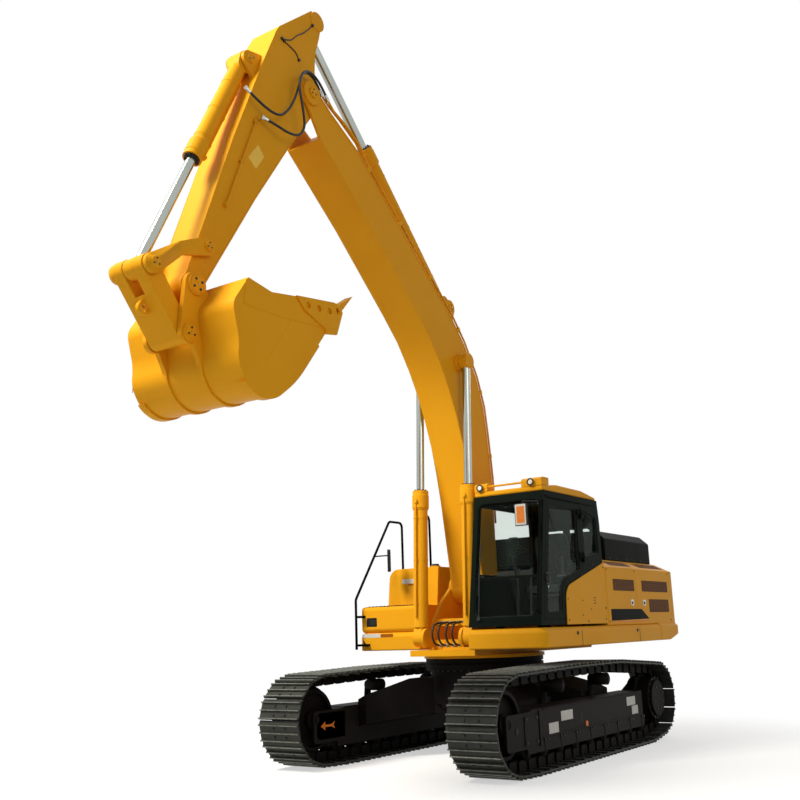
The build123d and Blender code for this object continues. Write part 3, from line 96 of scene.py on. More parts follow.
# The pins that hold the cylinders and the bucket's links, each in the plane of the piece that carries it.
BOOM_CYLINDER_FOOT, ARM_CYLINDER_FOOT, BUCKET_CYLINDER_FOOT = (910, 1440), (3400, 1540), (405, 766)
GUIDE_PIVOT, LINK_JOINT = (ARM_LENGTH - 445, 100), (ARM_LENGTH + 193, 460)
BUCKET_LINK_PIN = (ARM_LENGTH + 447, -189)
BOOM_ROD_EYE, ARM_ROD_EYE, BUCKET_ROD_EYE = BOOM.at(2741, 1090), ARM.at(-980, 385), ARM.at(*LINK_JOINT)

# %% [markdown]
# ## Materials
#
# One helper turns sRGB hex colours into the linear values that shaders want, and one adds a shader node
# with its settings and links. The paints share a recipe: a slightly mottled colour, because a real coat is
# never quite even, and a fine bump that gives the highlights their orange-peel edge.


# %% Shader helpers
def linear(code):
    """An sRGB hex colour as linear RGBA."""
    channels = [int(code[i : i + 2], 16) / 255 for i in (1, 3, 5)]
    curve = [c / 12.92 if c <= 0.04045 else ((c + 0.055) / 1.055) ** 2.4 for c in channels]
    return (*curve, 1.0)


def set_up(node, settings):
    """Sets a node's inputs, and its own properties where it has no input of that name."""
    for key, value in settings.items():
        if key in node.inputs:
            node.inputs[key].default_value = value
        else:
            setattr(node, key, value)


def add(tree, kind, settings, links=None):
    """A shader node with its settings, and links given as {own input: another node's output}."""
    node = tree.nodes.new(kind)
    set_up(node, settings)
    for key, output in (links or {}).items():
        tree.links.new(output, node.inputs[key])
    return node


def ramp(tree, value, settings):
    """A value brought from one range into another."""
    return add(tree, "ShaderNodeMapRange", settings, {"Value": value}).outputs["Result"]


def new_material(name):
    material = bpy.data.materials.new(name)
    material.use_nodes = True
    tree = material.node_tree
    return material, tree, tree.nodes["Principled BSDF"]


def coated(
    name, code, worn_code, roughness, share, patch_mm, grain_mm, depth_mm, metallic=0.0, coat=0.0, gloss=0.5
):
    """A coated or cast surface: two near colours in patches, uneven sheen, and a fine grain as bump."""
    material, tree, shader = new_material(name)
    place = add(tree, "ShaderNodeTexCoord", {}).outputs["Object"]
    noise = add(tree, "ShaderNodeTexNoise", {"Scale": 1000 / patch_mm, "Detail": 3.0}, {"Vector": place})
    patches = noise.outputs["Fac"]
    spread = ramp(tree, patches, {"From Min": 0.42, "From Max": 0.72, "To Max": share})
    colours = add(tree, "ShaderNodeMix", {"data_type": "RGBA"}, {"Factor": spread})
    colours.inputs[6].default_value = linear(code)
    colours.inputs[7].default_value = linear(worn_code)
    sheen = ramp(tree, patches, {"To Min": roughness - 0.05, "To Max": roughness + 0.07})
    grain = add(tree, "ShaderNodeTexNoise", {"Scale": 1000 / grain_mm, "Detail": 2.0}, {"Vector": place})
    relief = {"Distance": depth_mm * MM, "Strength": 0.6}
    bump = add(tree, "ShaderNodeBump", relief, {"Height": grain.outputs["Fac"]})
    tree.links.new(colours.outputs[2], shader.inputs["Base Color"])
    tree.links.new(sheen, shader.inputs["Roughness"])
    tree.links.new(bump.outputs["Normal"], shader.inputs["Normal"])
    finish = {"Metallic": metallic, "Coat Weight": coat, "Coat Roughness": 0.12, "Specular IOR Level": gloss}
    set_up(shader, finish)
    return material


# %% The palette
# Sprayed enamel after some seasons outside: a warm yellow with little gloss, deeper in soft patches.
YELLOW = coated(
    "Golden yellow machine enamel", "#EBA51C", "#E29B15", 0.4, 0.5, 900, 5, 0.05, coat=0.02, gloss=0.05
)
# Darker coats: the cab turns green in the light and the hood stays near black. Both reflect little.
CAB_PAINT = coated("Green-black cab enamel", "#131A15", "#19211B", 0.42, 0.5, 700, 5, 0.04, gloss=0.015)
HOOD_PAINT = coated("Black hood enamel", "#0E110D", "#161A15", 0.42, 0.5, 600, 5, 0.05, gloss=0.015)
# Chassis paint goes on thick over rough plate, so it looks dull and its grain is coarser.
# The darker of the two chassis blacks: on the idlers it stands for the shade they lie in, so part of its
# darkness is painted shade.
FRAME_PAINT_AND_SHADE = coated("Dull chassis black, partly painted shade", "#0F0D0B", "#1A1714", 0.6, 0.6, 350, 7, 0.12, gloss=0.06)
PLATE_PAINT = coated("Brown-black side frame paint", "#1A1714", "#24201C", 0.55, 0.5, 350, 7, 0.1, gloss=0.06)
# Rolled steel that has met gravel: grey-green, dull, with a brighter crest where it is rubbed.
SHOE_STEEL = coated(
    "Rolled shoe steel", "#2B2C27", "#3B3C35", 0.5, 0.8, 120, 4, 0.3, metallic=0.25, gloss=0.3
)
# The crests that the ground rubs: paler and more metallic than the plate under them.
WORN_STEEL = coated("Worn grouser edges", "#6E7068", "#4A4B44", 0.42, 0.8, 60, 3, 0.2, metallic=0.6)
# Ground and plated: long rods are never perfectly even, so the sheen shifts a little along them.
CHROME = coated("Hard chrome rod", "#A9AEA8", "#9BA19C", 0.2, 0.6, 260, 80, 0.0, metallic=1.0)
# Zinc plating is pale and a little cloudy. Blackened bolts keep only a dull glint.
ZINC = coated("Zinc plated fitting", "#BDC1BD", "#A6ABA6", 0.3, 0.7, 30, 1.5, 0.03, metallic=1.0)
DARK_ZINC = coated("Blackened bolt steel", "#2B2B28", "#3A3A36", 0.42, 0.6, 30, 1.5, 0.04, metallic=0.7)
# Extruded rubber and moulded plastic: nearly black, with a broad and soft sheen.
HOSE_RUBBER = coated("Hose cover rubber", "#121413", "#1A1D1C", 0.48, 0.5, 90, 2, 0.05, gloss=0.35)
# This near-black rubber also fills the grease hole and the lashing slot on each side frame, as painted shade.
RUBBER_AND_PAINTED_SHADE = coated("Seal rubber, also painted shade in holes", "#0B0D0C", "#111413", 0.6, 0.5, 60, 1.5, 0.03, gloss=0.2)
PLASTIC = coated("Grained black plastic", "#151716", "#1C1E1D", 0.5, 0.5, 200, 1.5, 0.05, gloss=0.3)
# Woven cloth scatters the light, so it is the mattest surface here. The grain stands for its threads.
FABRIC = coated("Woven seat fabric", "#34393B", "#42484A", 0.85, 0.8, 40, 2, 0.3, gloss=0.2)
# Painted shade: a filter near black behind its grille, and the thin perforated sheet dimmed to amber-brown.
GRILLE_SHADE = coated("Filter mesh in painted shade", "#24160A", "#33200E", 0.6, 0.7, 40, 2, 0.05, gloss=0.1)
MESH_PAINTED_SHADE = coated("Perforated sheet in amber-brown painted shade", "#8C5410", "#74450D", 0.5, 0.7, 40, 2, 0.05, gloss=0.2)
# Plates and films without print: one flat colour each, smoother than the paint around them.
WHITE_PLATE = coated("Blank white plate", "#CFCFC9", "#BDBDB6", 0.5, 0.6, 60, 1.5, 0.02)
AMBER_PLATE = coated("Blank amber film", "#A05A12", "#94500E", 0.45, 0.5, 150, 2, 0.02, gloss=0.1)
BLACK_PLATE = coated("Blank black film", "#0A0D0A", "#101310", 0.45, 0.5, 150, 2, 0.02, gloss=0.02)
SIGN_YELLOW = coated("Bright sign film", "#F2C437", "#EDBB2C", 0.4, 0.5, 60, 2, 0.02)
# Marking paint is thin and brushed on, so it is a little uneven.
ORANGE = coated("Orange marking paint", "#E07A14", "#CF6C0E", 0.5, 0.6, 40, 2, 0.04)
# Silver behind glass: a clear reflection, only just softened.
MIRROR = coated("Silvered mirror glass", "#DDE2E2", "#D5DADA", 0.06, 0.3, 200, 3, 0.0, metallic=1.0)
# A lamp lens is clear plastic moulded with ribs, so it breaks the light up and looks milky.
LENS = coated("Moulded lamp lens", "#F4F2E6", "#E6E4D8", 0.14, 0.5, 20, 6, 0.5, coat=0.6)
# Iron cast in sand keeps a rough and dark skin.
IRON = coated("Cast engine iron", "#2A2A27", "#34342F", 0.6, 0.6, 200, 4, 0.2, gloss=0.3)

# Panes are thin enough that light may pass straight on. The tint is the faint green of tempered glass.
GLASS, glass_tree, glass_shader = new_material("Tinted cab glass")
clear = add(glass_tree, "ShaderNodeBsdfTransparent", {"Color": linear("#F6F9F7")}).outputs[0]
gloss = add(glass_tree, "ShaderNodeBsdfGlossy", {"Color": linear("#96A09A"), "Roughness": 0.04}).outputs[0]
# Layer Weight reads the same from both sides, so the inner face of a pane doesn't turn into a mirror.
facing = add(glass_tree, "ShaderNodeLayerWeight", {"Blend": 0.5}).outputs["Facing"]
glancing = add(glass_tree, "ShaderNodeMath", {"operation": "POWER"}, {0: facing})
glancing.inputs[1].default_value = 4.0
sheen = ramp(glass_tree, glancing.outputs[0], {"To Min": 0.01, "To Max": 0.4})
pane = add(glass_tree, "ShaderNodeMixShader", {}, {0: sheen, 1: clear, 2: gloss}).outputs[0]
glass_tree.links.new(pane, glass_tree.nodes["Material Output"].inputs["Surface"])
glass_tree.nodes.remove(glass_shader)
print(len(bpy.data.materials), "materials")

# %% [markdown]
# ## Building tools
#
# Meshes are made with bmesh operators, straight in the machine's frame, so that every object stays at the
# origin and its place is in its vertices. `finish_object` turns a bmesh into an object that rides on a body
# of the machine, and `finished` does the same for a merged copy of a CAD piece, whose edges it breaks with
# a bevel.


# %% Mesh tools
AHEAD, ACROSS, UP = Vector((1, 0, 0)), Vector((0, 1, 0)), Vector((0, 0, 1))


def paint(verts, index):
    for face in {face for vert in verts for face in vert.link_faces}:
        face.material_index = index


def box(bm, low, high, index=0, plane=Matrix.Identity(4)):
    """A box between two corners in mm, in the machine's axes or in those of a work plane."""
    low, high = Vector(low) * MM, Vector(high) * MM
    move = plane @ Matrix.Translation((low + high) / 2) @ Matrix.Diagonal((*(high - low), 1.0))
    paint(bmesh.ops.create_cube(bm, size=1.0, matrix=move)["verts"], index)


def rod(bm, start, end, radius, segments=24, end_radius=None, index=0):
    """A round bar or cone between two points in metres, its radii in mm."""
    line = end - start
    made = bmesh.ops.create_cone(
        bm,
        cap_ends=True,
        segments=segments,
        radius1=radius * MM,
        radius2=(radius if end_radius is None else end_radius) * MM,
        depth=line.length,
        matrix=Matrix.Translation((start + end) / 2) @ UP.rotation_difference(line).to_matrix().to_4x4(),
    )
    paint(made["verts"], index)


def drawn_out(bm, outline, move, index=0):
    """A solid: a flat outline in metres drawn out by a vector. It gives back the far end's vertices."""
    near = [bm.verts.new(point) for point in outline]
    grown = bmesh.ops.extrude_face_region(bm, geom=[bm.faces.new(near)])["geom"]
    far = [item for item in grown if isinstance(item, bmesh.types.BMVert)]
    bmesh.ops.translate(bm, verts=far, vec=move)
    paint(near + far, index)
    bmesh.ops.recalc_face_normals(bm, faces=list({face for vert in near + far for face in vert.link_faces}))
    return far


def slab(bm, side, outline, y_low, y_high, index=0):
    """A plate drawn in a side view, from y_low to y_high, in mm."""
    drawn_out(bm, [side.at(u, v, y_low) for u, v in outline], ACROSS * (y_high - y_low) * MM, index)


def slab_pair(bm, side, outline, near, far, index=0, middle_y=0.0):
    """The same plate to the left and right of a middle, from near to far out of it, in mm."""
    for sign in (1, -1):
        slab(bm, side, outline, *sorted((middle_y + sign * near, middle_y + sign * far)), index)


def hexagon(bm, centre, axis, radius, height, index=0):
    """A bolt's head standing on a face, its centre in metres."""
    rod(bm, centre, centre + axis * height * MM, radius, 6, radius * 0.96, index)


def circle(centre, first, second, radius, count, shift=0.0):
    """Points evenly round a circle in metres, from the first of two square directions to the second."""
    turns = [math.tau * i / count + shift for i in range(count)]
    return [centre + (first * math.cos(turn) + second * math.sin(turn)) * radius for turn in turns]


# %% Objects from meshes and curves
def new_object(name, data):
    obj = bpy.data.objects.new(name, data)
    bpy.context.scene.collection.objects.link(obj)
    return obj


def break_edges(obj, width_mm):
    """Rounds the edges a little, as paint and wear do."""
    bevel = obj.modifiers.new("Broken edges", "BEVEL")
    bevel.width = width_mm * MM
    bevel.segments = 2
    bevel.limit_method = "ANGLE"
    bevel.angle_limit = math.radians(32)
    bevel.use_clamp_overlap = True
    normals = obj.modifiers.new("Flat faces", "WEIGHTED_NORMAL")
    normals.keep_sharp = True


def finish_object(name, bm, materials, body, edge_mm=0.0, smooth=35.0):
    """An object from the bmesh, riding on a body of the machine."""
    mesh = bpy.data.meshes.new(name)
    bm.to_mesh(mesh)
    bm.free()
    for material in materials:
        mesh.materials.append(material)
    obj = new_object(name, mesh)
    if smooth:
        mesh.shade_smooth()
        mesh.set_sharp_from_angle(angle=math.radians(smooth))
    if edge_mm:
        break_edges(obj, edge_mm)
    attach(obj, body)
    return obj


def merged(node, whole_faces=True):
    """A CAD piece as a bmesh in the machine's frame, with the triangles of a flat face joined where asked."""
    source = nodes[node]
    bm = bmesh.new()
    bm.from_mesh(source.data)
    bm.transform(source.matrix_world)
    bmesh.ops.remove_doubles(bm, verts=bm.verts, dist=2e-5)
    if whole_faces:
        bmesh.ops.dissolve_limit(bm, angle_limit=math.radians(0.3), verts=bm.verts, edges=bm.edges)
    return bm


def finished(node, material, edge_mm):
    """A merged copy of a CAD piece, with broken edges where it has a width, that stands for it."""
    bm = merged(node, edge_mm > 0)
    obj = finish_object(f"{node}_finished", bm, [material], BODY_OF[node], edge_mm, 32.0)
    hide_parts(node)
    return obj


def new_curve(name, radius_mm, rounding=5):
    """Curve data with a round section."""
    curve = bpy.data.curves.new(name, "CURVE")
    curve.dimensions = "3D"
    curve.bevel_depth = radius_mm * MM
    curve.bevel_resolution = rounding
    curve.use_fill_caps = True
    curve.resolution_u = 10
    return curve


def add_spline(curve, kind, points):
    """A spline of one kind with the points, in metres."""
    spline = curve.splines.new(kind)
    spline.points.add(len(points) - 1)
    for target, point in zip(spline.points, points):
        target.co = (*point, 1.0)
    return spline


def tube(name, points, radius_mm, material, body):
    """A pipe along the points, in metres, each corner rounded."""
    curve = new_curve(name, radius_mm)
    spline = add_spline(curve, "NURBS", points)
    spline.order_u = 3
    spline.use_endpoint_u = True
    curve.materials.append(material)
    obj = new_object(name, curve)
    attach(obj, body)


# %% [markdown]
# ## The CAD pieces, finished
#
# A table names the paint and the edge of every piece whose drawn shape shows as it is. Castings and welded
# boxes have broader edges than sheet.

# %% Finish the drawn pieces
def both(*stems):
    return [f"{stem}_{word}" for stem in stems for word in ("left", "right")]


FINISH = [
    # nodes, material, broken edge in mm
    (["boom", "arm", "bucket"], YELLOW, 5.0),
    (["bucket_link"], YELLOW, 6.0),
    (["guide_links"], YELLOW, 0.0),
    (["boom_cylinder_barrel", "arm_cylinder_barrel", "bucket_cylinder_barrel"], YELLOW, 4.0),
    (["main_deck", "fuel_tank", "tool_box"], YELLOW, 6.0),
    (both("sill"), YELLOW, 14.0),
    (both("side_cover") + ["counterweight"], YELLOW, 10.0),
    (["cab_side_panel"], YELLOW, 3.0),
    (["cab_roof"], YELLOW, 16.0),
    (["roof_lamps"], YELLOW, 6.0),
    (["boom_pipes", "arm_pipe"], YELLOW, 0.0),
    (["cab_shell"], CAB_PAINT, 6.0),
    (["cab_door"], CAB_PAINT, 5.0),
    (["exhaust_pipe", "handrails"], HOOD_PAINT, 0.0),
    (["mirror_left"], PLASTIC, 5.0),
    (["engine_block"], IRON, 8.0),
    (["cab_mounts"], RUBBER_AND_PAINTED_SHADE, 3.0),
    (["control_consoles"], PLASTIC, 6.0),
    (["centre_frame"], FRAME_PAINT_AND_SHADE, 10.0),
    (["slewing_ring"], FRAME_PAINT_AND_SHADE, 3.0),
    (both("side_frame"), PLATE_PAINT, 5.0),
    # The idlers take the darker chassis black, part of which is painted shade.
    (both("idler", "final_drive"), FRAME_PAINT_AND_SHADE, 4.0),
    (both("lower_rollers", "carrier_rollers"), FRAME_PAINT_AND_SHADE, 0.0),
]
for names, material, edge in FINISH:
    for name in names:
        finished(name, material, edge)
RODS = [
    # cylinder, its rod's eye, and how far from the eye the rod's end is painted, in metres
    ("boom", BOOM_ROD_EYE, 0.128),
    ("arm", ARM_ROD_EYE, 0.122),
    ("bucket", BUCKET_ROD_EYE, 0.112),
]
for name, eye, reach in RODS:
    piece = finished(f"{name}_cylinder_rod", CHROME, 2.0)
    piece.data.materials.append(YELLOW)
    for face in piece.data.polygons:
        corners = [piece.data.vertices[i].co for i in face.vertices]
        if all(math.hypot(corner.x - eye.x, corner.z - eye.z) < reach for corner in corners):
            face.material_index = 1
for name in ("cab_glass", "door_glass"):
    finished(name, GLASS, 0.0)
print(sum(len(row[0]) for row in FINISH), "painted pieces finished, and the rods and panes")

# %% [markdown]
# ## The tracks
#
# Each track is 49 shoes on a chain. The loop is the tight belt round idler, rollers and sprocket, and every
# shoe stands on one straight link of it: a plate with three grousers, four bolts, an inner and an outer link
# plate on each side, and a pin. The grousers' crests are worn bright where they meet the ground.

# %% The belt that the pins lie on
GAUGE, SHOE_WIDTH, SHOE_COUNT = 2590.0, 600.0, 49
# The links' section over and under the line of the pins, with the shoe's plate and its grousers on top.
ABOVE, PLATE, GROUSER, BELOW = 62.0, 14.0, 26.0, 55.0
OUT = ABOVE + PLATE + GROUSER
# The radii of the lower and the carrier rollers, and the height of the grousers on the upper run.
ROLLER, CARRIER, TRACK_TOP = 90.5, 81.0, 1103.0
IDLER, SPROCKET = (2030.0, 545.0), (-2020.0, 540.0)
WHEELS = [
    # x, z and the radius of the pins' line round each, clockwise from the idler
    (*IDLER, 530.0 - OUT),
    (1600.0, OUT + BELOW + ROLLER, BELOW + ROLLER),
    (-1600.0, OUT + BELOW + ROLLER, BELOW + ROLLER),
    (*SPROCKET, 478.0 - OUT),
    (-650.0, TRACK_TOP - OUT - BELOW - CARRIER, BELOW + CARRIER),
    (650.0, TRACK_TOP - OUT - BELOW - CARRIER, BELOW + CARRIER),
]


def belt_points(wheels, count):
    """Points evenly along the tight loop round the wheels, clockwise seen from the left."""
    tangents = []
    for first, second in zip(wheels, wheels[1:] + wheels[:1]):
        dx, dz = second[0] - first[0], second[1] - first[1]
        lean = math.acos((first[2] - second[2]) / math.hypot(dx, dz))
        normal = math.atan2(dz, dx) + lean
        ends = [(w[0] + w[2] * math.cos(normal), w[1] + w[2] * math.sin(normal)) for w in (first, second)]
        tangents.append((normal, *ends))
    line = []
    for index, (x, z, radius) in enumerate(wheels):
        before = tangents[index - 1][0]
        sweep = (before - tangents[index][0]) % (2 * math.pi)
        steps = max(2, round(sweep * 60))
        turns = [before - sweep * i / steps for i in range(steps + 1)]
        line += [(x + radius * math.cos(turn), z + radius * math.sin(turn)) for turn in turns]
    line.append(line[0])
    reach = [0.0]
    for a, b in zip(line, line[1:]):
        reach.append(reach[-1] + math.dist(a, b))
    points = []
    segment = 0
    for index in range(count):
        target = reach[-1] * index / count
        while reach[segment + 1] < target:
            segment += 1
        share = (target - reach[segment]) / (reach[segment + 1] - reach[segment] or 1.0)
        a, b = line[segment], line[segment + 1]
        points.append((a[0] + share * (b[0] - a[0]), a[1] + share * (b[1] - a[1])))
    return points


pins = belt_points(WHEELS, SHOE_COUNT)
print("chain pitch", round(math.dist(pins[3], pins[4]), 1), "mm")


# %% A shoe and its links
def shoe(bm, start, end, middle_y):
    """One link of the chain with its shoe, from pin to pin, the points in mm."""
    length = math.dist(start, end)
    angle = math.degrees(math.atan2(end[1] - start[1], end[0] - start[0]))
    side = Side((start[0] + end[0]) / 2, (start[1] + end[1]) / 2, angle)
    half = length / 2 - 5
    low, high = middle_y - SHOE_WIDTH / 2, middle_y + SHOE_WIDTH / 2
    top = ABOVE + PLATE
    tip_v = top + GROUSER
    plate = [(-half - 30, ABOVE - 20), (-half - 4, ABOVE - 4), (half, ABOVE), (half, top), (-half, top),
             (-half - 34, ABOVE - 10)]
    slab(bm, side, plate, low, high)
    worn_v = tip_v - 7
    for u in (-half + 11, 0.0, half - 11):
        rib = [(u - 11, top - 1), (u + 11, top - 1), (u + 7, worn_v), (u - 7, worn_v)]
        crest = [(u - 7, worn_v), (u + 7, worn_v), (u + 5, tip_v), (u - 5, tip_v)]
        slab(bm, side, rib, low, high)
        slab(bm, side, crest, low + 1, high - 1, 1)
    for across in (-86, 86):
        for u in (-half / 2, half / 2):
            hexagon(bm, side.at(u, top, middle_y + across), side.up, 14, 12, 2)
    inner_link = [(-half - 22, -38), (-half + 20, -BELOW), (4, -BELOW), (26, -30), (26, ABOVE),
                  (-half, ABOVE), (-half - 30, 20)]
    outer_link = [(4, -BELOW), (half - 20, -BELOW), (half + 22, -38), (half + 30, 20), (half, ABOVE),
                  (-26, ABOVE), (-26, -30)]
    slab_pair(bm, side, inner_link, 62, 88, 3, middle_y)
    slab_pair(bm, side, outer_link, 86, 111, 3, middle_y)
    pin = side.at(-length / 2, 0, middle_y)
    rod(bm, pin - ACROSS * 0.113, pin + ACROSS * 0.113, 22, 12, index=3)


SIDES = (("left", 1), ("right", -1))
for word, sign in SIDES:
    bm = bmesh.new()
    for start, end in zip(pins, pins[1:] + pins[:1]):
        shoe(bm, start, end, sign * GAUGE / 2)
    print("track", word, len(bm.faces), "faces")
    materials = [SHOE_STEEL, WORN_STEEL, DARK_ZINC, FRAME_PAINT_AND_SHADE]
    chain = finish_object(f"track_{word}_shoes", bm, materials, "undercarriage", smooth=0.0)
    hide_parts(f"track_{word}")

# %% [markdown]
# ## Undercarriage details
#
# The side frame carries a cover over the idler's yoke, shaft brackets under its lower edge, four blank plates
# and an orange mark. Its grease hole by the idler is a dark disc and its lashing slot a dark plate, both
# painted shade. The cover inside the far track bears a plain arrow.

# %% Side frame fittings
FRAME_FACE, FRAME_INNER = GAUGE / 2 + 160, GAUGE / 2 - 160


def face_box(bm, sign, low, high, depth, index=0):
    """A plate on a side frame's outer face, from (x, z) low to (x, z) high, in mm."""
    y0, y1 = sorted((sign * (FRAME_FACE - 1.5), sign * (FRAME_FACE + depth)))
    box(bm, (low[0], y0, low[1]), (high[0], y1, high[1]), index)


for word, sign in SIDES:
    out = ACROSS * sign
    bm = bmesh.new()
    for low, high, depth in (((1395, 298), (1700, 604), 9), ((1320, 272), (1368, 640), 14),
                             ((-1500, 352), (1300, 372), 8), ((-1500, 634), (1260, 652), 8)):
        face_box(bm, sign, low, high, depth)
    y0, y1 = sorted((sign * (FRAME_FACE - 29), sign * (FRAME_FACE - 2)))
    for index in range(9):
        x = (index - 4) * 400
        slab(bm, MACHINE, [(x - 58, 356), (x + 58, 356), (x + 30, 212), (x - 30, 212)], y0, y1)
        for dx in (-36, 36):
            hexagon(bm, MACHINE.at(x + dx, 330, sign * (FRAME_FACE - 2)), out, 13, 10, 1)
    for x in (1425, 1670):
        for z in (330, 575):
            hexagon(bm, MACHINE.at(x, z, sign * (FRAME_FACE + 8)), out, 15, 11, 1)
    materials = [PLATE_PAINT, DARK_ZINC]
    finish_object(f"side_frame_fittings_{word}", bm, materials, "undercarriage", 2.0)

    bm = bmesh.new()
    for low, high in (((-1367, 500), (-1090, 608)), ((-1440, 385), (-1240, 490)), ((515, 484), (815, 590)),
                      ((895, 362), (1130, 486))):
        face_box(bm, sign, low, high, 2.5)
    # The lashing slot is a dark plate on the face: painted shade in the opening.
    face_box(bm, sign, (262, 424), (300, 522), 1.0, 1)
    spot = MACHINE.at(155, 398, sign * (FRAME_FACE - 2))
    rod(bm, spot, spot + out * 0.010, 34, 20, index=2)
    # The grease hole by the idler is a dark disc standing out of the face: painted shade in the hole.
    spot = MACHINE.at(1866, 465, sign * (FRAME_FACE - 10))
    rod(bm, spot, spot + out * 0.016, 34, 24, index=1)
    materials = [WHITE_PLATE, RUBBER_AND_PAINTED_SHADE, ORANGE]
    finish_object(f"frame_plates_{word}", bm, materials, "undercarriage")

bm = bmesh.new()
arrow = [(1960, 462), (1880, 512), (1880, 476), (1760, 476), (1700, 506), (1722, 462), (1700, 418),
         (1760, 448), (1880, 448), (1880, 412)]
slab(bm, MACHINE, arrow, -FRAME_INNER - 1, -FRAME_INNER + 2)
finish_object("travel_arrow", bm, [ORANGE], "undercarriage")
bm = bmesh.new()
cover = [(1500, 310), (1990, 310), (2030, 350), (2030, 580), (1990, 612), (1500, 612)]
slab_pair(bm, MACHINE, cover, FRAME_INNER, FRAME_INNER + 3)
finish_object("inner_covers", bm, [PLATE_PAINT], "undercarriage", 1.0)

# %% Final drive bolts and the ring's bolts
bm = bmesh.new()
for word, sign in SIDES:
    hub = MACHINE.at(*SPROCKET, sign * (GAUGE / 2 + 190))
    for spot in circle(hub, AHEAD, UP, 0.262, 16):
        hexagon(bm, spot, ACROSS * sign, 13, 12)
    for spot in circle(hub + ACROSS * sign * 0.042, AHEAD, UP, 0.150, 8, math.pi / 8):
        hexagon(bm, spot, ACROSS * sign, 11, 9)
for spot in circle(UP * 1.040, AHEAD, ACROSS, 0.735, 48):
    hexagon(bm, spot, -UP, 13, 14)
finish_object("chassis_bolts", bm, [DARK_ZINC], "undercarriage")
print("undercarriage dressed")

# %% [markdown]
# ## The superstructure's fittings
#
# A `Face` is a flat work plane on a panel: u along it, v up it and w out of it, in mm. Grilles, latches,
# plates and bolts are boxes and bars in such a plane, so the same helpers serve an upright wall, a chamfer
# and the leaning windscreen.


# %% Work planes on panels
class Face:
    """A work plane: its origin in mm, its u axis, its v axis, and w square to both."""

    def __init__(self, origin, u, v):
        u, v = Vector(u).normalized(), Vector(v).normalized()
        self.matrix = Matrix((u, v, u.cross(v))).transposed().to_4x4()
        self.matrix.translation = Vector(origin) * MM
        self.out = u.cross(v)

    def at(self, u, v, w=0.0):
        return self.matrix @ (Vector((u, v, w)) * MM)

    def box(self, bm, low, high, index=0):
        box(bm, low, high, index, self.matrix)

    def plate(self, bm, outline, depth, index=0, sunk=1.0):
        """A flat plate of any outline, standing out by its depth."""
        drawn_out(bm, [self.at(u, v, -sunk) for u, v in outline], self.out * (depth + sunk) * MM, index)

    def bolt(self, bm, u, v, radius, height, index):
        rod(bm, self.at(u, v, -1), self.at(u, v, 1.5), radius * 1.5, 20, index=index)
        hexagon(bm, self.at(u, v, 1), self.out, radius, height, index)


def cab_side(y):
    """A work plane on the machine's left at y, with u to the rear and v up."""
    return Face((0, y, 0), (-1, 0, 0), (0, 0, 1))


def round_corners(points, radius, steps=5):
    """A closed outline with each corner rounded."""
    result = []
    for index, corner in enumerate(points):
        before, after = Vector(points[index - 1]), Vector(points[(index + 1) % len(points)])
        corner = Vector(corner)
        start = corner + (before - corner).normalized() * radius
        end = corner + (after - corner).normalized() * radius
        for step in range(steps + 1):
            t = step / steps
            result.append(tuple(start * (1 - t) ** 2 + corner * 2 * t * (1 - t) + end * t**2))
    return result


def panel(low, high, radius):
    return round_corners([(low[0], low[1]), (high[0], low[1]), (high[0], high[1]), (low[0], high[1])], radius)


def grille(bm, face, low, high, pitch=15.0):
    """A framed opening, a backing in painted shade and a fence of slats: frame 0, backing 1, slats 2."""
    face.plate(bm, panel((low[0] - 12, low[1] - 12), (high[0] + 12, high[1] + 12), 22), 2.5, 0)
    # The backing is a dark sheet where the opening lies in shade: painted shade.
    face.plate(bm, panel(low, high, 14), 3.0, 1)
    # The slats' amber-brown is painted shade, the dim light they catch in the opening.
    count = max(2, round((high[1] - low[1]) / pitch))
    for index in range(1, count):
        v = low[1] + (high[1] - low[1]) * index / count
        face.box(bm, (low[0] + 3, v - 2.2, 1), (high[0] - 3, v + 2.2, 6), 2)
    across = max(2, round((high[0] - low[0]) / (pitch * 4)))
    for index in range(1, across):
        u = low[0] + (high[0] - low[0]) * index / across
        face.box(bm, (u - 2.5, low[1] + 3, 1), (u + 2.5, high[1] - 3, 7), 2)


# %% Left rear cover: service doors, grilles, latches and the blank name plate
LEFT, DOORS, PANEL, SILL, DOOR = (cab_side(y) for y in (1460, 1463.5, 1462.3, 1495, 1450))
CHAMFER = Face((0, 1460, 2270), (-1, 0, 0), (0, -240, 120))
bm = bmesh.new()
for low, high in (((722, 1548), (1702, 2258)), ((1714, 1548), (2985, 2258))):
    LEFT.plate(bm, panel(low, high, 22), 3.5, 0)
grille(bm, DOORS, (925, 1966), (1640, 2116))
grille(bm, DOORS, (1915, 1966), (2905, 2116))
grille(bm, DOORS, (2140, 1684), (2905, 1861))
grille(bm, CHAMFER, (1020, 62), (1740, 200))
grille(bm, CHAMFER, (2040, 62), (2950, 200))
DOORS.plate(bm, round_corners([(806, 1578), (2112, 1596), (1846, 1728), (806, 1728)], 8), 2.0, 4)
DOORS.plate(bm, panel((806, 1560), (2130, 1574), 4), 1.5, 5)
for u in (1538, 1968):
    DOORS.plate(bm, panel((u - 44, 1776), (u + 44, 1852), 10), 4, 6)
    DOORS.plate(bm, panel((u - 20, 1790), (u + 20, 1828), 7), 7, 3)
for u, v in ((745, 1572), (745, 2236), (1680, 2236), (2960, 1572), (2960, 2236)):
    DOORS.bolt(bm, u, v, 7, 4, 3)
materials = [YELLOW, GRILLE_SHADE, MESH_PAINTED_SHADE, RUBBER_AND_PAINTED_SHADE, BLACK_PLATE, ORANGE, ZINC]
finish_object("left_cover_fittings", bm, materials, "house", 1.2)

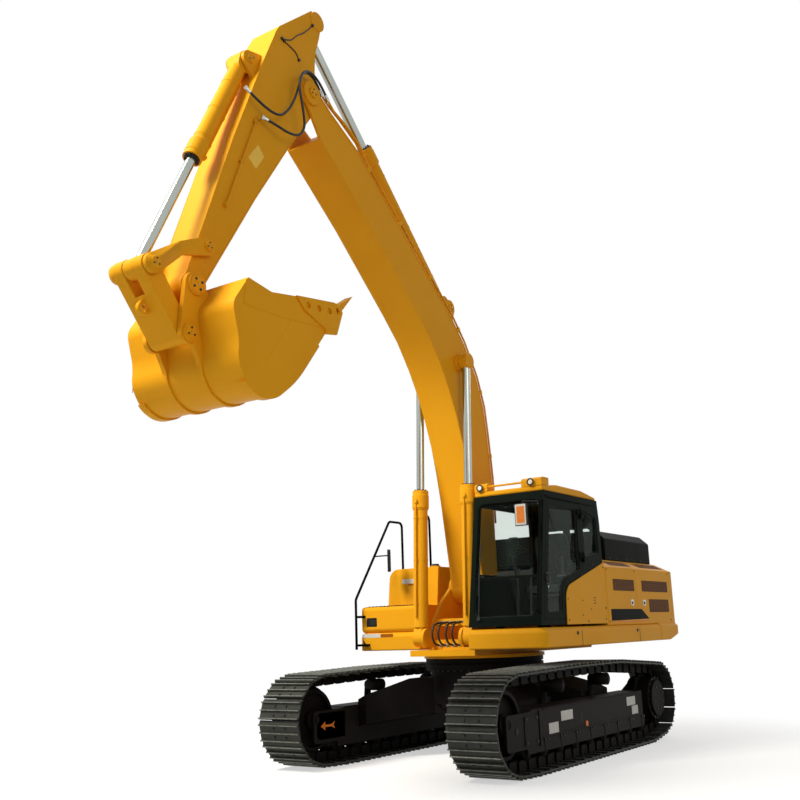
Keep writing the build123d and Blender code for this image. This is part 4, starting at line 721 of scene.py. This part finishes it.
bm = bmesh.new()
for u, v, wide, high in ((326, 1867, 60, 12), (318, 1834, 46, 11), (322, 1800, 52, 12), (-32, 1832, 26, 14),
                         (-47, 1655, 26, 14), (203, 1727, 24, 14), (652, 1740, 30, 26)):
    PANEL.plate(bm, panel((u - wide / 2, v - high / 2), (u + wide / 2, v + high / 2), 4), 1.2, 0)
for u, v in ((-440, 1600), (-440, 1850), (0, 2150), (330, 2280), (650, 2254), (635, 1600), (100, 1580)):
    PANEL.bolt(bm, u, v, 8, 5, 1)
finish_object("side_panel_fittings", bm, [RUBBER_AND_PAINTED_SHADE, DARK_ZINC], "house")

# %% Sill joints, the plates of the steps on the right, and the treads
bm = bmesh.new()
for u, clip in ((-184, -304), (1640, 1562)):
    SILL.plate(bm, [(u - 5, 1300), (u + 5, 1300), (u + 5, 1476), (u - 5, 1476)], 1.5, 0)
    SILL.bolt(bm, clip, 1446, 17, 10, 1)
finish_object("sill_joints", bm, [RUBBER_AND_PAINTED_SHADE, DARK_ZINC], "house")

STEP = Face((740, 0, 0), (0, 1, 0), (0, 0, 1))
LOCKER = Face((725, 0, 0), (0, 1, 0), (0, 0, 1))
TANK = Face((120, 0, 1860), (0, 1, 0), (-60, 0, 516))
bm = bmesh.new()
STEP.plate(bm, panel((-1420, 1462), (-1123, 1510), 6), 2, 0)
STEP.plate(bm, panel((-1119, 1464), (-925, 1506), 6), 2, 3)
STEP.plate(bm, [(-1372, 1350), (-1330, 1350), (-1408, 1436), (-1420, 1420)], 2, 1)
LOCKER.plate(bm, panel((-1356, 1603), (-1189, 1716), 16), 2.5, 1)
LOCKER.plate(bm, panel((-1300, 1628), (-1205, 1694), 10), 6, 2)
TANK.plate(bm, panel((-1215, 313), (-973, 374), 8), 2, 0)
TANK.plate(bm, panel((-1105, 284), (-974, 306), 6), 2, 3)
materials = [WHITE_PLATE, RUBBER_AND_PAINTED_SHADE, PLASTIC, AMBER_PLATE]
finish_object("right_step_fittings", bm, materials, "house")

bm = bmesh.new()
for low, high, z in (((190, -1390), (690, -620), 1860), ((-1150, -1250), (-60, -660), 2376)):
    tread = Face((0, 0, z), (1, 0, 0), (0, 1, 0))
    tread.plate(bm, panel(low, high, 30), 3, 0)
    rows = int((high[0] - low[0] - 60) / 62)
    columns = int((high[1] - low[1] - 60) / 62)
    for row in range(rows + 1):
        for column in range(columns + 1):
            u, v = low[0] + 45 + row * 62, low[1] + 45 + column * 62
            rod(bm, tread.at(u, v, 2), tread.at(u, v, 9), 13, 10, 9, 1)
filler = Vector((-0.300, -0.900, 2.379))
rod(bm, filler, filler + UP * 0.035, 70, 32, index=2)
rod(bm, filler + UP * 0.035, filler + UP * 0.060, 52, 24, 48, 1)
finish_object("step_treads", bm, [HOOD_PAINT, DARK_ZINC, YELLOW], "house")

# %% Hood over the engine, with its lid, vents and latches
HOOD_FRONT, HOOD_REAR, HOOD_HALF = -1355, -3005, 1200
HOOD_BASE, HOOD_EDGE, HOOD_TOP = 2391, 2690, 2806
HOOD_CHAMFER, HOOD_LEAN = 110, 70
half_section = [(HOOD_HALF, HOOD_BASE), (HOOD_HALF, HOOD_EDGE), (HOOD_HALF - HOOD_CHAMFER, HOOD_TOP)]
section = half_section + [(-y, z) for y, z in reversed(half_section)]
bm = bmesh.new()
ring = [Vector((HOOD_FRONT, y, z)) * MM for y, z in section]
# The rear wall leans forward over its edge.
for vert in drawn_out(bm, ring, AHEAD * (HOOD_REAR - HOOD_FRONT) * MM):
    if vert.co.z > (HOOD_EDGE + 5) * MM:
        vert.co.x += HOOD_LEAN * MM
hood = finish_object("hood_shell", bm, [HOOD_PAINT], "house", 14.0)
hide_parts("engine_hood")

bm = bmesh.new()
for sign in (1, -1):
    side = Face((0, sign * HOOD_HALF, 0), (-sign, 0, 0), (0, 0, 1))
    for u in (1900, 2480):
        side.plate(bm, panel((sign * u - 3, 2400), (sign * u + 3, 2680), 2), 1.5, 1)
    for u in (1500, 1760, 2100, 2360, 2620, 2880):
        side.bolt(bm, sign * u, 2425, 9, 6, 2)
lid = Face((-2180, 0, HOOD_TOP), (1, 0, 0), (0, 1, 0))
lid.plate(bm, panel((-640, -1020), (640, 1020), 50), 14, 0)
for low in ((-560, 380), (-560, -960)):
    # Each vent panel is near black under its slats: painted shade.
    lid.plate(bm, panel(low, (low[0] + 1120, low[1] + 580), 30), 16, 1)
    for index in range(24):
        u = low[0] + 22 + index * 47
        lid.box(bm, (u, low[1] + 20, 14), (u + 9, low[1] + 560, 26), 0)
for v in (-300, 300):
    lid.plate(bm, panel((620, v - 60), (700, v + 60), 12), 26, 2)
    lid.plate(bm, panel((-700, v - 26), (-630, v + 26), 8), 24, 3)
finish_object("hood_fittings", bm, [HOOD_PAINT, GRILLE_SHADE, DARK_ZINC, ZINC], "house", 2.0)

# %% Tail: lifting points and plugs on top of the counterweight
bm = bmesh.new()
top = Face((0, 0, 2390), (1, 0, 0), (0, 1, 0))
for y in (-760, 760):
    rod(bm, top.at(-3150, y, -2), top.at(-3150, y, 6), 58, 32, index=1)
    rod(bm, top.at(-3150, y, 5), top.at(-3150, y, 22), 34, 6, 32)
for y in (-1209, 1209):
    rod(bm, top.at(-2700, y, -1), top.at(-2700, y, 5), 24, 24)
finish_object("tail_fittings", bm, [DARK_ZINC, HOOD_PAINT], "house")
print("superstructure dressed")

# %% [markdown]
# ## The cab
#
# Every pane gets a rubber bead that follows its own edge, read from the pane's CAD mesh. The windscreen has
# its split line, a wiper and a grab rail on the post beside it.


# %% Seals round the panes
def seal_round(node, body):
    """Beads along the outline of each large flat face of a pane. It gives back how many there are."""
    bm = merged(node)
    curve = new_curve(f"{node}_seals", 9.0, 2)
    for face in bm.faces:
        if face.calc_area() < 0.05:
            continue
        loop = [vert.co for vert in face.verts]
        kept = [co for index, co in enumerate(loop) if (co - loop[index - 1]).length > 0.002]
        add_spline(curve, "POLY", kept).use_cyclic_u = True
    bm.free()
    curve.materials.append(RUBBER_AND_PAINTED_SHADE)
    obj = new_object(f"{node}_seals", curve)
    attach(obj, body)
    return len(curve.splines)


print("seals", seal_round("cab_glass", "house"), seal_round("door_glass", "door"))

# %% Windscreen bar, wiper, rails and lamps
SCREEN = Face((1150, 0, 1548), (0, 1, 0), (-270, 0, 1572))
bm = bmesh.new()
SCREEN.box(bm, (550, 560, -34), (1388, 590, -8), 0)
SCREEN.box(bm, (544, 578, -30), (562, 1460, -12), 0)
for u in (640, 1300):
    SCREEN.box(bm, (u - 22, 590, -20), (u + 22, 612, -4), 1)
hub = SCREEN.at(628, 96, 4)
rod(bm, hub - SCREEN.out * 0.03, hub + SCREEN.out * 0.02, 26, 20, index=1)
rod(bm, hub + SCREEN.out * 0.014, SCREEN.at(618, 700, 14), 7, 10, 5, index=1)
rod(bm, SCREEN.at(600, 380, 4), SCREEN.at(616, 1000, 4), 8, 8, index=1)
finish_object("windscreen_fittings", bm, [CAB_PAINT, PLASTIC], "house", 2.0)

rail = [SCREEN.at(1430, 150, 4), SCREEN.at(1430, 150, 46), SCREEN.at(1430, 210, 52), SCREEN.at(1430, 900, 52),
        SCREEN.at(1430, 1420, 52), SCREEN.at(1430, 1470, 46), SCREEN.at(1430, 1470, 4)]
tube("post_grab_rail", rail, 13, HOOD_PAINT, "house")

bm = bmesh.new()
DOOR.plate(bm, panel((-960, 2010), (-880, 2150), 14), 6, 0)
DOOR.box(bm, (-945, 2030, 4), (-895, 2050, 26), 0)
DOOR.box(bm, (-945, 2110, 4), (-895, 2130, 26), 0)
DOOR.box(bm, (-935, 2030, 18), (-905, 2130, 30), 0)
rod(bm, DOOR.at(-920, 1985, 1), DOOR.at(-920, 1985, 8), 11, 20, index=1)
finish_object("door_handle", bm, [PLASTIC, ZINC], "door", 2.0)

bm = bmesh.new()
front = Face((911, 0, 3228.5), (0, 1, 0), (0, 0, 1))
for y in (592, 1297.5):
    rod(bm, front.at(y, 0, -1), front.at(y, 0, 6), 47, 32, index=2)
    rod(bm, front.at(y, 0, 5), front.at(y, 0, 12), 30, 32, 25)
rod(bm, Vector((-0.45, 1.20, 3.20)), Vector((-0.45, 1.20, 3.235)), 18, 16, index=2)
rod(bm, Vector((-0.45, 1.20, 3.23)), Vector((-0.47, 1.20, 3.285)), 5, 8, index=2)
finish_object("roof_fittings", bm, [LENS, ZINC, PLASTIC], "house")

bm = bmesh.new()
BACK = Face((1160, 0, 0), (0, 1, 0), (0, 0, 1))
BACK.plate(bm, panel((1203, 2698), (1342, 2942), 12), 2, 0)
BACK.plate(bm, panel((1222, 2722), (1323, 2918), 8), 4, 1)
REAR = Face((1120, 0, 0), (0, -1, 0), (0, 0, 1))
REAR.plate(bm, panel((-1342, 2698), (-1203, 2942), 12), 2, 2)
finish_object("mirror_faces", bm, [WHITE_PLATE, ORANGE, MIRROR], "house")

# %% The mirror on the sloping rail, turned to the seat
bm = bmesh.new()
HEAD = Face((360, -1200, 2480), (-0.811, -0.585, 0), (0, 0, 1))
HEAD.plate(bm, panel((-88, -149), (88, 149), 40), 0, 0, sunk=44.0)
HEAD.plate(bm, panel((-75, -136), (75, 136), 30), 2.5, 1, sunk=0.5)
head = finish_object("mirror_right_head", bm, [PLASTIC, MIRROR], "house", 4.0)
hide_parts("mirror_right")
stay = [(0.396, -1.4343, 2.55), (0.39, -1.32, 2.552), (0.376, -1.222, 2.55)]
tube("mirror_right_stay", stay, 9, HOOD_PAINT, "house")

# %% Cab frame trims: a door gutter and the roof's edge
bm = bmesh.new()
slab(bm, MACHINE, [(-560, 3040), (840, 3048), (836, 3066), (-560, 3058)], 1448, 1462, 0)
for z in (2390, 2930):
    for x in (-40, 30):
        hexagon(bm, MACHINE.at(x, z, 1451), ACROSS, 8, 6, 1)
finish_object("cab_trims", bm, [CAB_PAINT, DARK_ZINC], "house")
print("cab dressed")

# %% [markdown]
# ## The operator's seat
#
# The seat stands on a plain box with a tray. Its cushion and back are foam under woven cloth: each is a box
# that is subdivided, drawn in at its edges and crowned.


# %% Seat cushions
def cushion(name, low, high, lean, crown):
    """A crowned pad between two corners in mm, leaning back by an angle about its lower rear edge."""
    bm = bmesh.new()
    box(bm, low, high)
    bmesh.ops.subdivide_edges(bm, edges=bm.edges, cuts=8, use_grid_fill=True)
    low, high = Vector(low) * MM, Vector(high) * MM
    middle, half = (low + high) / 2, (high - low) / 2
    for vert in bm.verts:
        share = Vector(((vert.co - middle)[i] / half[i] for i in range(3)))
        for axis in range(3):
            others = [abs(share[i]) for i in range(3) if i != axis]
            pull = max(0.0, others[0] ** 6 + others[1] ** 6)
            vert.co[axis] -= share[axis] * half[axis] * 0.07 * min(pull, 1.6)
            if abs(share[axis]) > 0.99 and half[axis] == min(half):
                fall = (1 - others[0] ** 2) * (1 - others[1] ** 2)
                vert.co[axis] -= math.copysign(crown * MM * (1 - fall), share[axis])
    turn = Matrix.Translation((low.x, 0, low.z)) @ Matrix.Rotation(math.radians(-lean), 4, "Y")
    bm.transform(turn @ Matrix.Translation((-low.x, 0, -low.z)))
    obj = finish_object(name, bm, [FABRIC], "house", smooth=60.0)
    smooth = obj.modifiers.new("Soft", "SUBSURF")
    smooth.levels = smooth.render_levels = 1
    return obj


floor_z = 1593
base = bmesh.new()
box(base, (-330, 778.5, floor_z), (60, 1158.5, floor_z + 300))
box(base, (-360, 738.5, floor_z + 296), (110, 1198.5, floor_z + 332))
seat_base = finish_object("seat_base", base, [PLASTIC], "house", 8.0)
seat_pad = cushion("seat_pad", (-370, 722, floor_z + 332), (135, 1215, floor_z + 462), 0, 16)
seat_back = cushion("seat_back", (-352, 742, floor_z + 440), (-232, 1195, floor_z + 1122), -8, 18)
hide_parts("operator_seat")
print("seat made")

# %% [markdown]
# ## Boom, arm and cylinders
#
# The box sections are welded: their top and bottom plates stand out a few millimetres beyond the sides.
# Pins have round caps with bolts and a nipple, and each cylinder has its pipe, its clamps and a ring of bolts
# in its gland.


# %% Plate edges along the boxes
def lip(bm, side, line, near, far, depth):
    """A strip along the inner side of an outline, on both flanks of the box, from near to far out."""
    points = [Vector(p) for p in line]
    inner = []
    for i, point in enumerate(points):
        before = points[max(i - 1, 0)]
        after = points[min(i + 1, len(points) - 1)]
        along = (after - before).normalized()
        inner.append(point + Vector((along.y, -along.x)) * depth)
    for corners in zip(points, points[1:], inner[1:], inner):
        slab_pair(bm, side, corners, near, far)


BOOM_UPPER = [(-60, 172), (1133, 918), (1663, 1175), (2001, 1320), (2400, 1400), (2900, 1395), (3330, 1317),
              (5733, 525), (6240, 255), (6440, 168)]
BOOM_LOWER = [(6380, -128), (5973, -125), (4930, 215), (3700, 545), (3300, 635), (2900, 664), (2550, 655),
              (2200, 612), (1850, 540), (1500, 432), (1149, 305), (160, -118)]
ARM_UPPER = [(-140, 724), (311, 662), (ARM_LENGTH * 0.45, 472), (ARM_LENGTH - 60, 126)]
ARM_LOWER = [(ARM_LENGTH - 110, -107), (ARM_LENGTH * 0.56, -105), (874, -135), (450, -165), (200, -183)]
PLATE_EDGES = [
    # body, side, outlines, near and far y, depth
    ("boom", BOOM, (BOOM_UPPER, BOOM_LOWER), 238, 246, 16),
    ("arm", ARM, (ARM_UPPER, ARM_LOWER), 198, 205, 14),
]
for body, side, outlines, near, far, depth in PLATE_EDGES:
    bm = bmesh.new()
    for line in outlines:
        lip(bm, side, line, near, far, depth)
    finish_object(f"{body}_plate_edges", bm, [YELLOW], body)


# %% Pins, keepers and glands
def pin_cap(bm, side, centre, y, out, radius, bolts):
    """A round cap over a pin's end with its bolts, and the grease nipple."""
    middle = side.at(*centre, y)
    way = ACROSS * out
    rod(bm, middle - way * 0.002, middle + way * 0.008, radius, 36)
    for spot in circle(middle, side.along, side.up, radius * 0.62 * MM, bolts, 0.5):
        hexagon(bm, spot + way * 0.007, way, radius * 0.16, 9, 1)
    rod(bm, middle + way * 0.007, middle + way * 0.022, 6, 10, 4, 2)


PIN_CAPS = [
    # name, body, and rows of side, centre, y, radius and bolts
    ("boom_pin_caps", "boom", [(BOOM, (BOOM_LENGTH, 0), 289, 58, 3), (BOOM, ARM_CYLINDER_FOOT, 162, 46, 2)]),
    ("arm_pin_caps", "arm", [(ARM, BUCKET_CYLINDER_FOOT, 148, 44, 2), (ARM, GUIDE_PIVOT, 274, 46, 3)]),
    ("guide_pin_caps", "guide_links", [(ARM, LINK_JOINT, 280, 54, 3)]),
    ("bucket_pin_caps", "bucket", [(ARM, (ARM_LENGTH, 0), 282, 88, 4), (ARM, BUCKET_LINK_PIN, 282, 68, 3)]),
    ("deck_pin_caps", "house", [(BOOM, (0, 0), 325, 56, 3), (MACHINE, BOOM_CYLINDER_FOOT, 440, 62, 4)]),
]
for name, body, rows in PIN_CAPS:
    bm = bmesh.new()
    for side, centre, y, radius, bolts in rows:
        for sign in (1, -1):
            pin_cap(bm, side, centre, sign * y, sign, radius, bolts)
    finish_object(name, bm, [YELLOW, DARK_ZINC, ZINC], body, 1.5)


def collar(bm, start, end, inner, outer, end_outer=None, index=0, segments=40):
    """A ring along a line, open in the middle so that a rod slides through it, its radii in mm."""
    axis = (end - start).normalized()
    side = axis.orthogonal().normalized()
    up = axis.cross(side)
    last = outer if end_outer is None else end_outer
    loops = [
        [bm.verts.new(spot) for spot in circle(point, side, up, radius * MM, segments)]
        for point, radius in ((start, inner), (start, outer), (end, last), (end, inner))
    ]
    faces = []
    for loop, after in zip(loops, loops[1:] + loops[:1]):
        for i in range(segments):
            faces.append(bm.faces.new((loop[i - 1], loop[i], after[i], after[i - 1])))
            faces[-1].material_index = index
    bmesh.ops.recalc_face_normals(bm, faces=faces)


CYLINDERS = [
    # body, foot, rod's eye, y, tube radius, tube length, rod radius
    ("boom_cylinder_tubes", MACHINE.at(*BOOM_CYLINDER_FOOT), BOOM_ROD_EYE, 365, 92, 1863, 52),
    ("boom_cylinder_tubes", MACHINE.at(*BOOM_CYLINDER_FOOT), BOOM_ROD_EYE, -365, 92, 1863, 52),
    ("arm_cylinder_tube", BOOM.at(*ARM_CYLINDER_FOOT), ARM_ROD_EYE, 0, 102, 2375, 60),
    ("bucket_cylinder_tube", ARM.at(*BUCKET_CYLINDER_FOOT), BUCKET_ROD_EYE, 0, 88, 1553, 50),
]
gather = {}
for body, foot, eye, y, tube_r, length, rod_r in CYLINDERS:
    bm = gather.setdefault(body, bmesh.new())
    along = (eye - foot).normalized()
    square = Vector((along.z, 0, -along.x))
    start = foot + ACROSS * y * MM
    end = start + along * length * MM
    # the gland's face, its wiper ring and its bolts
    collar(bm, end, end + along * 0.010, rod_r + 3, tube_r - 6, index=1)
    collar(bm, end + along * 0.009, end + along * 0.016, rod_r + 2, rod_r + 9, rod_r + 4, index=1)
    for spot in circle(end, square, ACROSS, (tube_r - 16) * MM, 8, 0.2):
        rod(bm, spot + along * 0.008, spot + along * 0.020, 9, 6, index=1)
    # the oil pipe beside the tube, its two ends and its three clamps
    lane = square * (tube_r + 22) * MM
    near, far = start + along * 0.26 + lane, start + along * (length - 180) * MM + lane
    rod(bm, near, far, 12, 14)
    rod(bm, far, far - lane * 0.45 + along * 0.05, 12, 14)
    rod(bm, near, near - lane * 0.45, 14, 14)
    for share in (0.12, 0.5, 0.88):
        middle = near.lerp(far, share)
        collar(bm, middle - lane - along * 0.013, middle - lane + along * 0.013, tube_r - 3, tube_r + 3)
        rod(bm, middle - along * 0.018, middle + along * 0.018, 17, 12)
    # the thick head at the tube's end, with its port
    neck = end - along * 0.250
    collar(bm, neck, neck + along * 0.030, tube_r - 3, tube_r + 4, tube_r + 17)
    collar(bm, neck + along * 0.029, neck + along * 0.190, tube_r - 3, tube_r + 17)
    collar(bm, neck + along * 0.189, neck + along * 0.205, tube_r - 3, tube_r + 17, tube_r + 8)
    port = neck + along * 0.110
    rod(bm, port + square * tube_r * MM, port + square * (tube_r + 42) * MM, 30, 20)
for body, bm in gather.items():
    finish_object(f"{body}_fittings", bm, [YELLOW, DARK_ZINC], body)
print("pins, pipes and glands made")

# %% Sign, grease lines and clips on the arm
bm = bmesh.new()
slab(bm, ARM, [(1239, 190), (1277, 58), (1498, 65), (1484, 212)], 199, 202)
finish_object("arm_sign", bm, [SIGN_YELLOW], "arm")
GREASE_LINES = [[(-195, 629), (-303, 522), (-466, 508), (-663, 429), (-852, 410)],
                [(-200, 594), (-254, 468), (-275, 374), (-232, 319)]]
for index, line in enumerate(GREASE_LINES):
    points = [ARM.at(u, v, 206) for u, v in line]
    tube(f"arm_grease_line_{index + 1}", points, 7, HOSE_RUBBER, "arm")
bm = bmesh.new()
for line in GREASE_LINES:
    for u, v in (line[0], line[-1]):
        spot = ARM.at(u, v, 200)
        rod(bm, spot, spot + ACROSS * 0.022, 17, 12)
finish_object("arm_grease_blocks", bm, [DARK_ZINC], "arm", 1.0)

# %% [markdown]
# ## The bucket's wear parts
#
# Adapters are welded over the lip and each tooth is held by a pin. Beads run along the bucket's sides.

# %% Bucket fittings
def weld(bm, side, start, end, near, far, wide=9.0):
    """A bead along a line in a side view, on both flanks."""
    start, end = Vector(start), Vector(end)
    along = (end - start).normalized() * wide / 2
    across = Vector((-along.y, along.x))
    slab_pair(bm, side, (start - across, end - across, end + across, start + across), near, far)


bm = bmesh.new()
band = [(178, 28), (520, 118), (864, 118), (940, 236), (1240, 398), (534, 332), (112, 262)]
slab_pair(bm, BUCKET, band, 718, 725)
weld(bm, BUCKET, (66, 272), (-20, 860), 718, 722)
weld(bm, BUCKET, (763, 362), (130, 1005), 718, 722)
finish_object("bucket_side_bands", bm, [YELLOW], "bucket", 1.5)

bm = bmesh.new()
adapter = [(1395, 214), (1500, 176), (1568, 128), (1600, 160), (1505, 266), (1400, 306)]
for index in range(5):
    y = (index - 2) * 325.0
    slab(bm, BUCKET, adapter, y - 56, y + 56)
    for sign in (1, -1):
        centre = BUCKET.at(1540, 188, y + sign * 57)
        rod(bm, centre, centre + ACROSS * sign * 0.006, 18, 16, index=1)
finish_object("tooth_adapters", bm, [YELLOW, DARK_ZINC], "bucket", 4.0)
print("bucket dressed")

# %% [markdown]
# ## Hoses
#
# Each free hose runs along the same points as its CAD tube, here as the smooth curve that rubber takes.
# The two at the arm's pivot ride on no body; the four in front hang between the boom brackets.


# %% Hose tools
def smooth_path(points, steps=8):
    """The clamped quadratic curve of the control points, as points close together."""
    points = [Vector(p) for p in points]
    path = [points[0]]
    for index in range(1, len(points) - 1):
        start = points[0] if index == 1 else (points[index - 1] + points[index]) / 2
        end = points[-1] if index == len(points) - 2 else (points[index] + points[index + 1]) / 2
        for step in range(1, steps + 1):
            t = step / steps
            path.append(start * (1 - t) ** 2 + points[index] * 2 * t * (1 - t) + end * t**2)
    return path


def hose(name, points, diameter_mm, node, body=None):
    """A free hose as a mesh tube. It gives back its path and its length."""
    path = smooth_path(points)
    curve = new_curve(name, diameter_mm / 2)
    add_spline(curve, "POLY", path)
    holder = bpy.data.objects.new(name, curve)
    mesh = bpy.data.meshes.new_from_object(holder)
    bpy.data.objects.remove(holder)
    bpy.data.curves.remove(curve)
    mesh.name = name
    mesh.materials.clear()
    mesh.materials.append(HOSE_RUBBER)
    mesh.shade_smooth()
    obj = new_object(name, mesh)
    length = sum((b - a).length for a, b in zip(path, path[1:]))
    if body:
        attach(obj, body)
    else:
        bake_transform(obj)
    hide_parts(node)
    return path, round(length, 2)


def fitting(bm, end, inner, radius):
    """A crimped sleeve and a nut at a hose's end, set along the hose."""
    along = (inner - end).normalized()
    rod(bm, end - along * 0.004, end + along * 0.022, radius * 1.75, 6)
    rod(bm, end + along * 0.020, end + along * 0.075, radius * 1.32, 24)
    for index in range(4):
        spot = end + along * (0.028 + 0.012 * index)
        rod(bm, spot, spot + along * 0.005, radius * 1.42, 24)


# %% Front hoses and arm hoses
bm = bmesh.new()
for index, y in enumerate((-0.13, -0.04, 0.07, 0.16)):
    route = [(0.7003, y, 1.625), (0.9284, y, 1.625), (1.011, y, 1.5424), (1.011, y, 1.4256),
             (0.9284, y, 1.343), (0.7903, y, 1.343)]
    path, length = hose(f"front_hose_{index + 1}_rubber", route, 25, f"front_hose_{index + 1}", "house")
    fitting(bm, path[0], path[2], 12.5)
    fitting(bm, path[-1], path[-3], 12.5)
finish_object("front_hose_fittings", bm, [ZINC], "house")
print("front hose length", length)

HOSE_ROUTES = [
    [(3.453, 0.240, 7.574), (3.575, 0.261, 7.685), (3.733, 0.288, 7.710), (3.877, 0.312, 7.640),
     (3.933, 0.318, 7.485), (3.986, 0.321, 7.328), (4.053, 0.320, 7.175), (4.142, 0.321, 7.036),
     (4.265, 0.320, 6.926), (4.427, 0.309, 6.930), (4.574, 0.279, 6.999), (4.708, 0.240, 7.090)],
    [(3.382, 0.270, 7.532), (3.508, 0.288, 7.640), (3.660, 0.310, 7.703), (3.823, 0.336, 7.687),
     (3.943, 0.353, 7.576), (3.995, 0.361, 7.419), (3.957, 0.361, 7.256), (3.915, 0.360, 7.094),
     (3.899, 0.360, 6.929), (3.992, 0.354, 6.793), (4.150, 0.338, 6.771), (4.309, 0.306, 6.811),
     (4.462, 0.250, 6.851)],
]
on_boom, on_arm = bmesh.new(), bmesh.new()
for index, route in enumerate(HOSE_ROUTES):
    path, length = hose(f"arm_hose_{index + 1}_rubber", route, 28, f"arm_hose_{index + 1}")
    fitting(on_boom, path[0], path[2], 14)
    fitting(on_arm, path[-1], path[-3], 14)
    print("arm hose length", length)
finish_object("boom_hose_fittings", on_boom, [ZINC], "boom")
finish_object("arm_hose_fittings", on_arm, [ZINC], "arm")

# %% [markdown]
# ## Studio, lamps and camera
#
# The floor and the world are pale. The key lamp stands ahead of the machine on its right, so the faces that
# look forward are bright and the cab's side lies in softer light.

# %% Floor and world
floor_mesh = bpy.data.meshes.new("studio_floor")
bm = bmesh.new()
bmesh.ops.create_grid(bm, x_segments=1, y_segments=1, size=90)
bm.to_mesh(floor_mesh)
bm.free()
floor_obj = new_object("studio_floor", floor_mesh)
floor_obj.location.z = -0.001


def seen_rays(tree):
    """1 for the rays that show a background: straight from the camera, mirrored, or through glass."""
    rays = add(tree, "ShaderNodeLightPath", {}).outputs
    seen = rays["Is Camera Ray"]
    for name in ("Is Transmission Ray", "Is Glossy Ray"):
        seen = add(tree, "ShaderNodeMath", {"operation": "MAXIMUM"}, {0: seen, 1: rays[name]}).outputs[0]
    return seen


# Near the machine the floor shows its shadow. Further out it turns to the white of the backdrop.
FLOOR, floor_tree, floor_shader = new_material("Pale studio floor")
set_up(floor_shader, {"Base Color": linear("#BDBDBB"), "Roughness": 0.9, "Specular IOR Level": 0.1})
place = add(floor_tree, "ShaderNodeTexCoord", {}).outputs["Object"]
reach = add(floor_tree, "ShaderNodeVectorMath", {"operation": "LENGTH"}, {0: place}).outputs["Value"]
fade = ramp(floor_tree, reach, {"interpolation_type": "SMOOTHERSTEP", "From Min": 2.8, "From Max": 6.5})
lit = floor_shader.outputs[0]
haze = add(floor_tree, "ShaderNodeEmission", {"Color": linear("#FFFFFF"), "Strength": 0.55}).outputs[0]
white = add(floor_tree, "ShaderNodeEmission", {"Color": linear("#FFFFFF"), "Strength": 1.0}).outputs[0]
near = add(floor_tree, "ShaderNodeAddShader", {}, {0: lit, 1: haze}).outputs[0]
shown = add(floor_tree, "ShaderNodeMixShader", {}, {0: fade, 1: near, 2: white}).outputs[0]
blend = add(floor_tree, "ShaderNodeMixShader", {}, {0: seen_rays(floor_tree), 1: lit, 2: shown}).outputs[0]
floor_tree.links.new(blend, floor_tree.nodes["Material Output"].inputs["Surface"])
floor_mesh.materials.append(FLOOR)

world = bpy.data.worlds.new("Studio")
bpy.context.scene.world = world
world.use_nodes = True
tree = world.node_tree
tree.nodes.clear()
light = add(tree, "ShaderNodeBackground", {"Color": linear("#F2F4F6"), "Strength": 0.34}).outputs[0]
shown = add(tree, "ShaderNodeBackground", {"Color": linear("#FFFFFF"), "Strength": 1.0}).outputs[0]
mixed = add(tree, "ShaderNodeMixShader", {}, {0: seen_rays(tree), 1: light, 2: shown}).outputs[0]
add(tree, "ShaderNodeOutputWorld", {}, {"Surface": mixed})


# %% Lamps
def lamp(name, place, aim, size, watts, code):
    """A soft square lamp that looks at a point."""
    data = bpy.data.lights.new(name, "AREA")
    data.size = size
    data.energy = watts
    data.color = linear(code)[:3]
    obj = new_object(name, data)
    obj.location = place
    obj.rotation_euler = (Vector(aim) - Vector(place)).to_track_quat("-Z", "Y").to_euler()


lamp("key", (12.5, -5, 16), (1.5, 0, 3.5), 5.5, 4100, "#FFFBF0")
lamp("fill", (7, 16, 10), (0, 1, 3.5), 8, 450, "#FFF3E0")
lamp("back", (-12, -3, 11), (0, 0, 3), 7, 500, "#FFFFFF")

# %% Camera
camera_data = bpy.data.cameras.new("camera")
camera = new_object("camera", camera_data)
yaw, pitch, roll = (math.radians(a) for a in (-145.447, 13.281, -1.893))
forward = Vector((math.cos(pitch) * math.cos(yaw), math.cos(pitch) * math.sin(yaw), math.sin(pitch)))
right = Vector((math.sin(yaw), -math.cos(yaw), 0))
above = right.cross(forward)
right, above = (
    right * math.cos(roll) + above * math.sin(roll),
    above * math.cos(roll) - right * math.sin(roll),
)
turn = Matrix((right, above, -forward)).transposed().to_4x4()
camera.matrix_world = Matrix.Translation((11.295, 6.686, 1.530)) @ turn
camera_data.sensor_width = 36
camera_data.lens = 43.77915
camera_data.shift_x = -0.008425
camera_data.shift_y = 0.001975
bpy.context.scene.camera = camera
bpy.context.scene.view_settings.view_transform = "Standard"
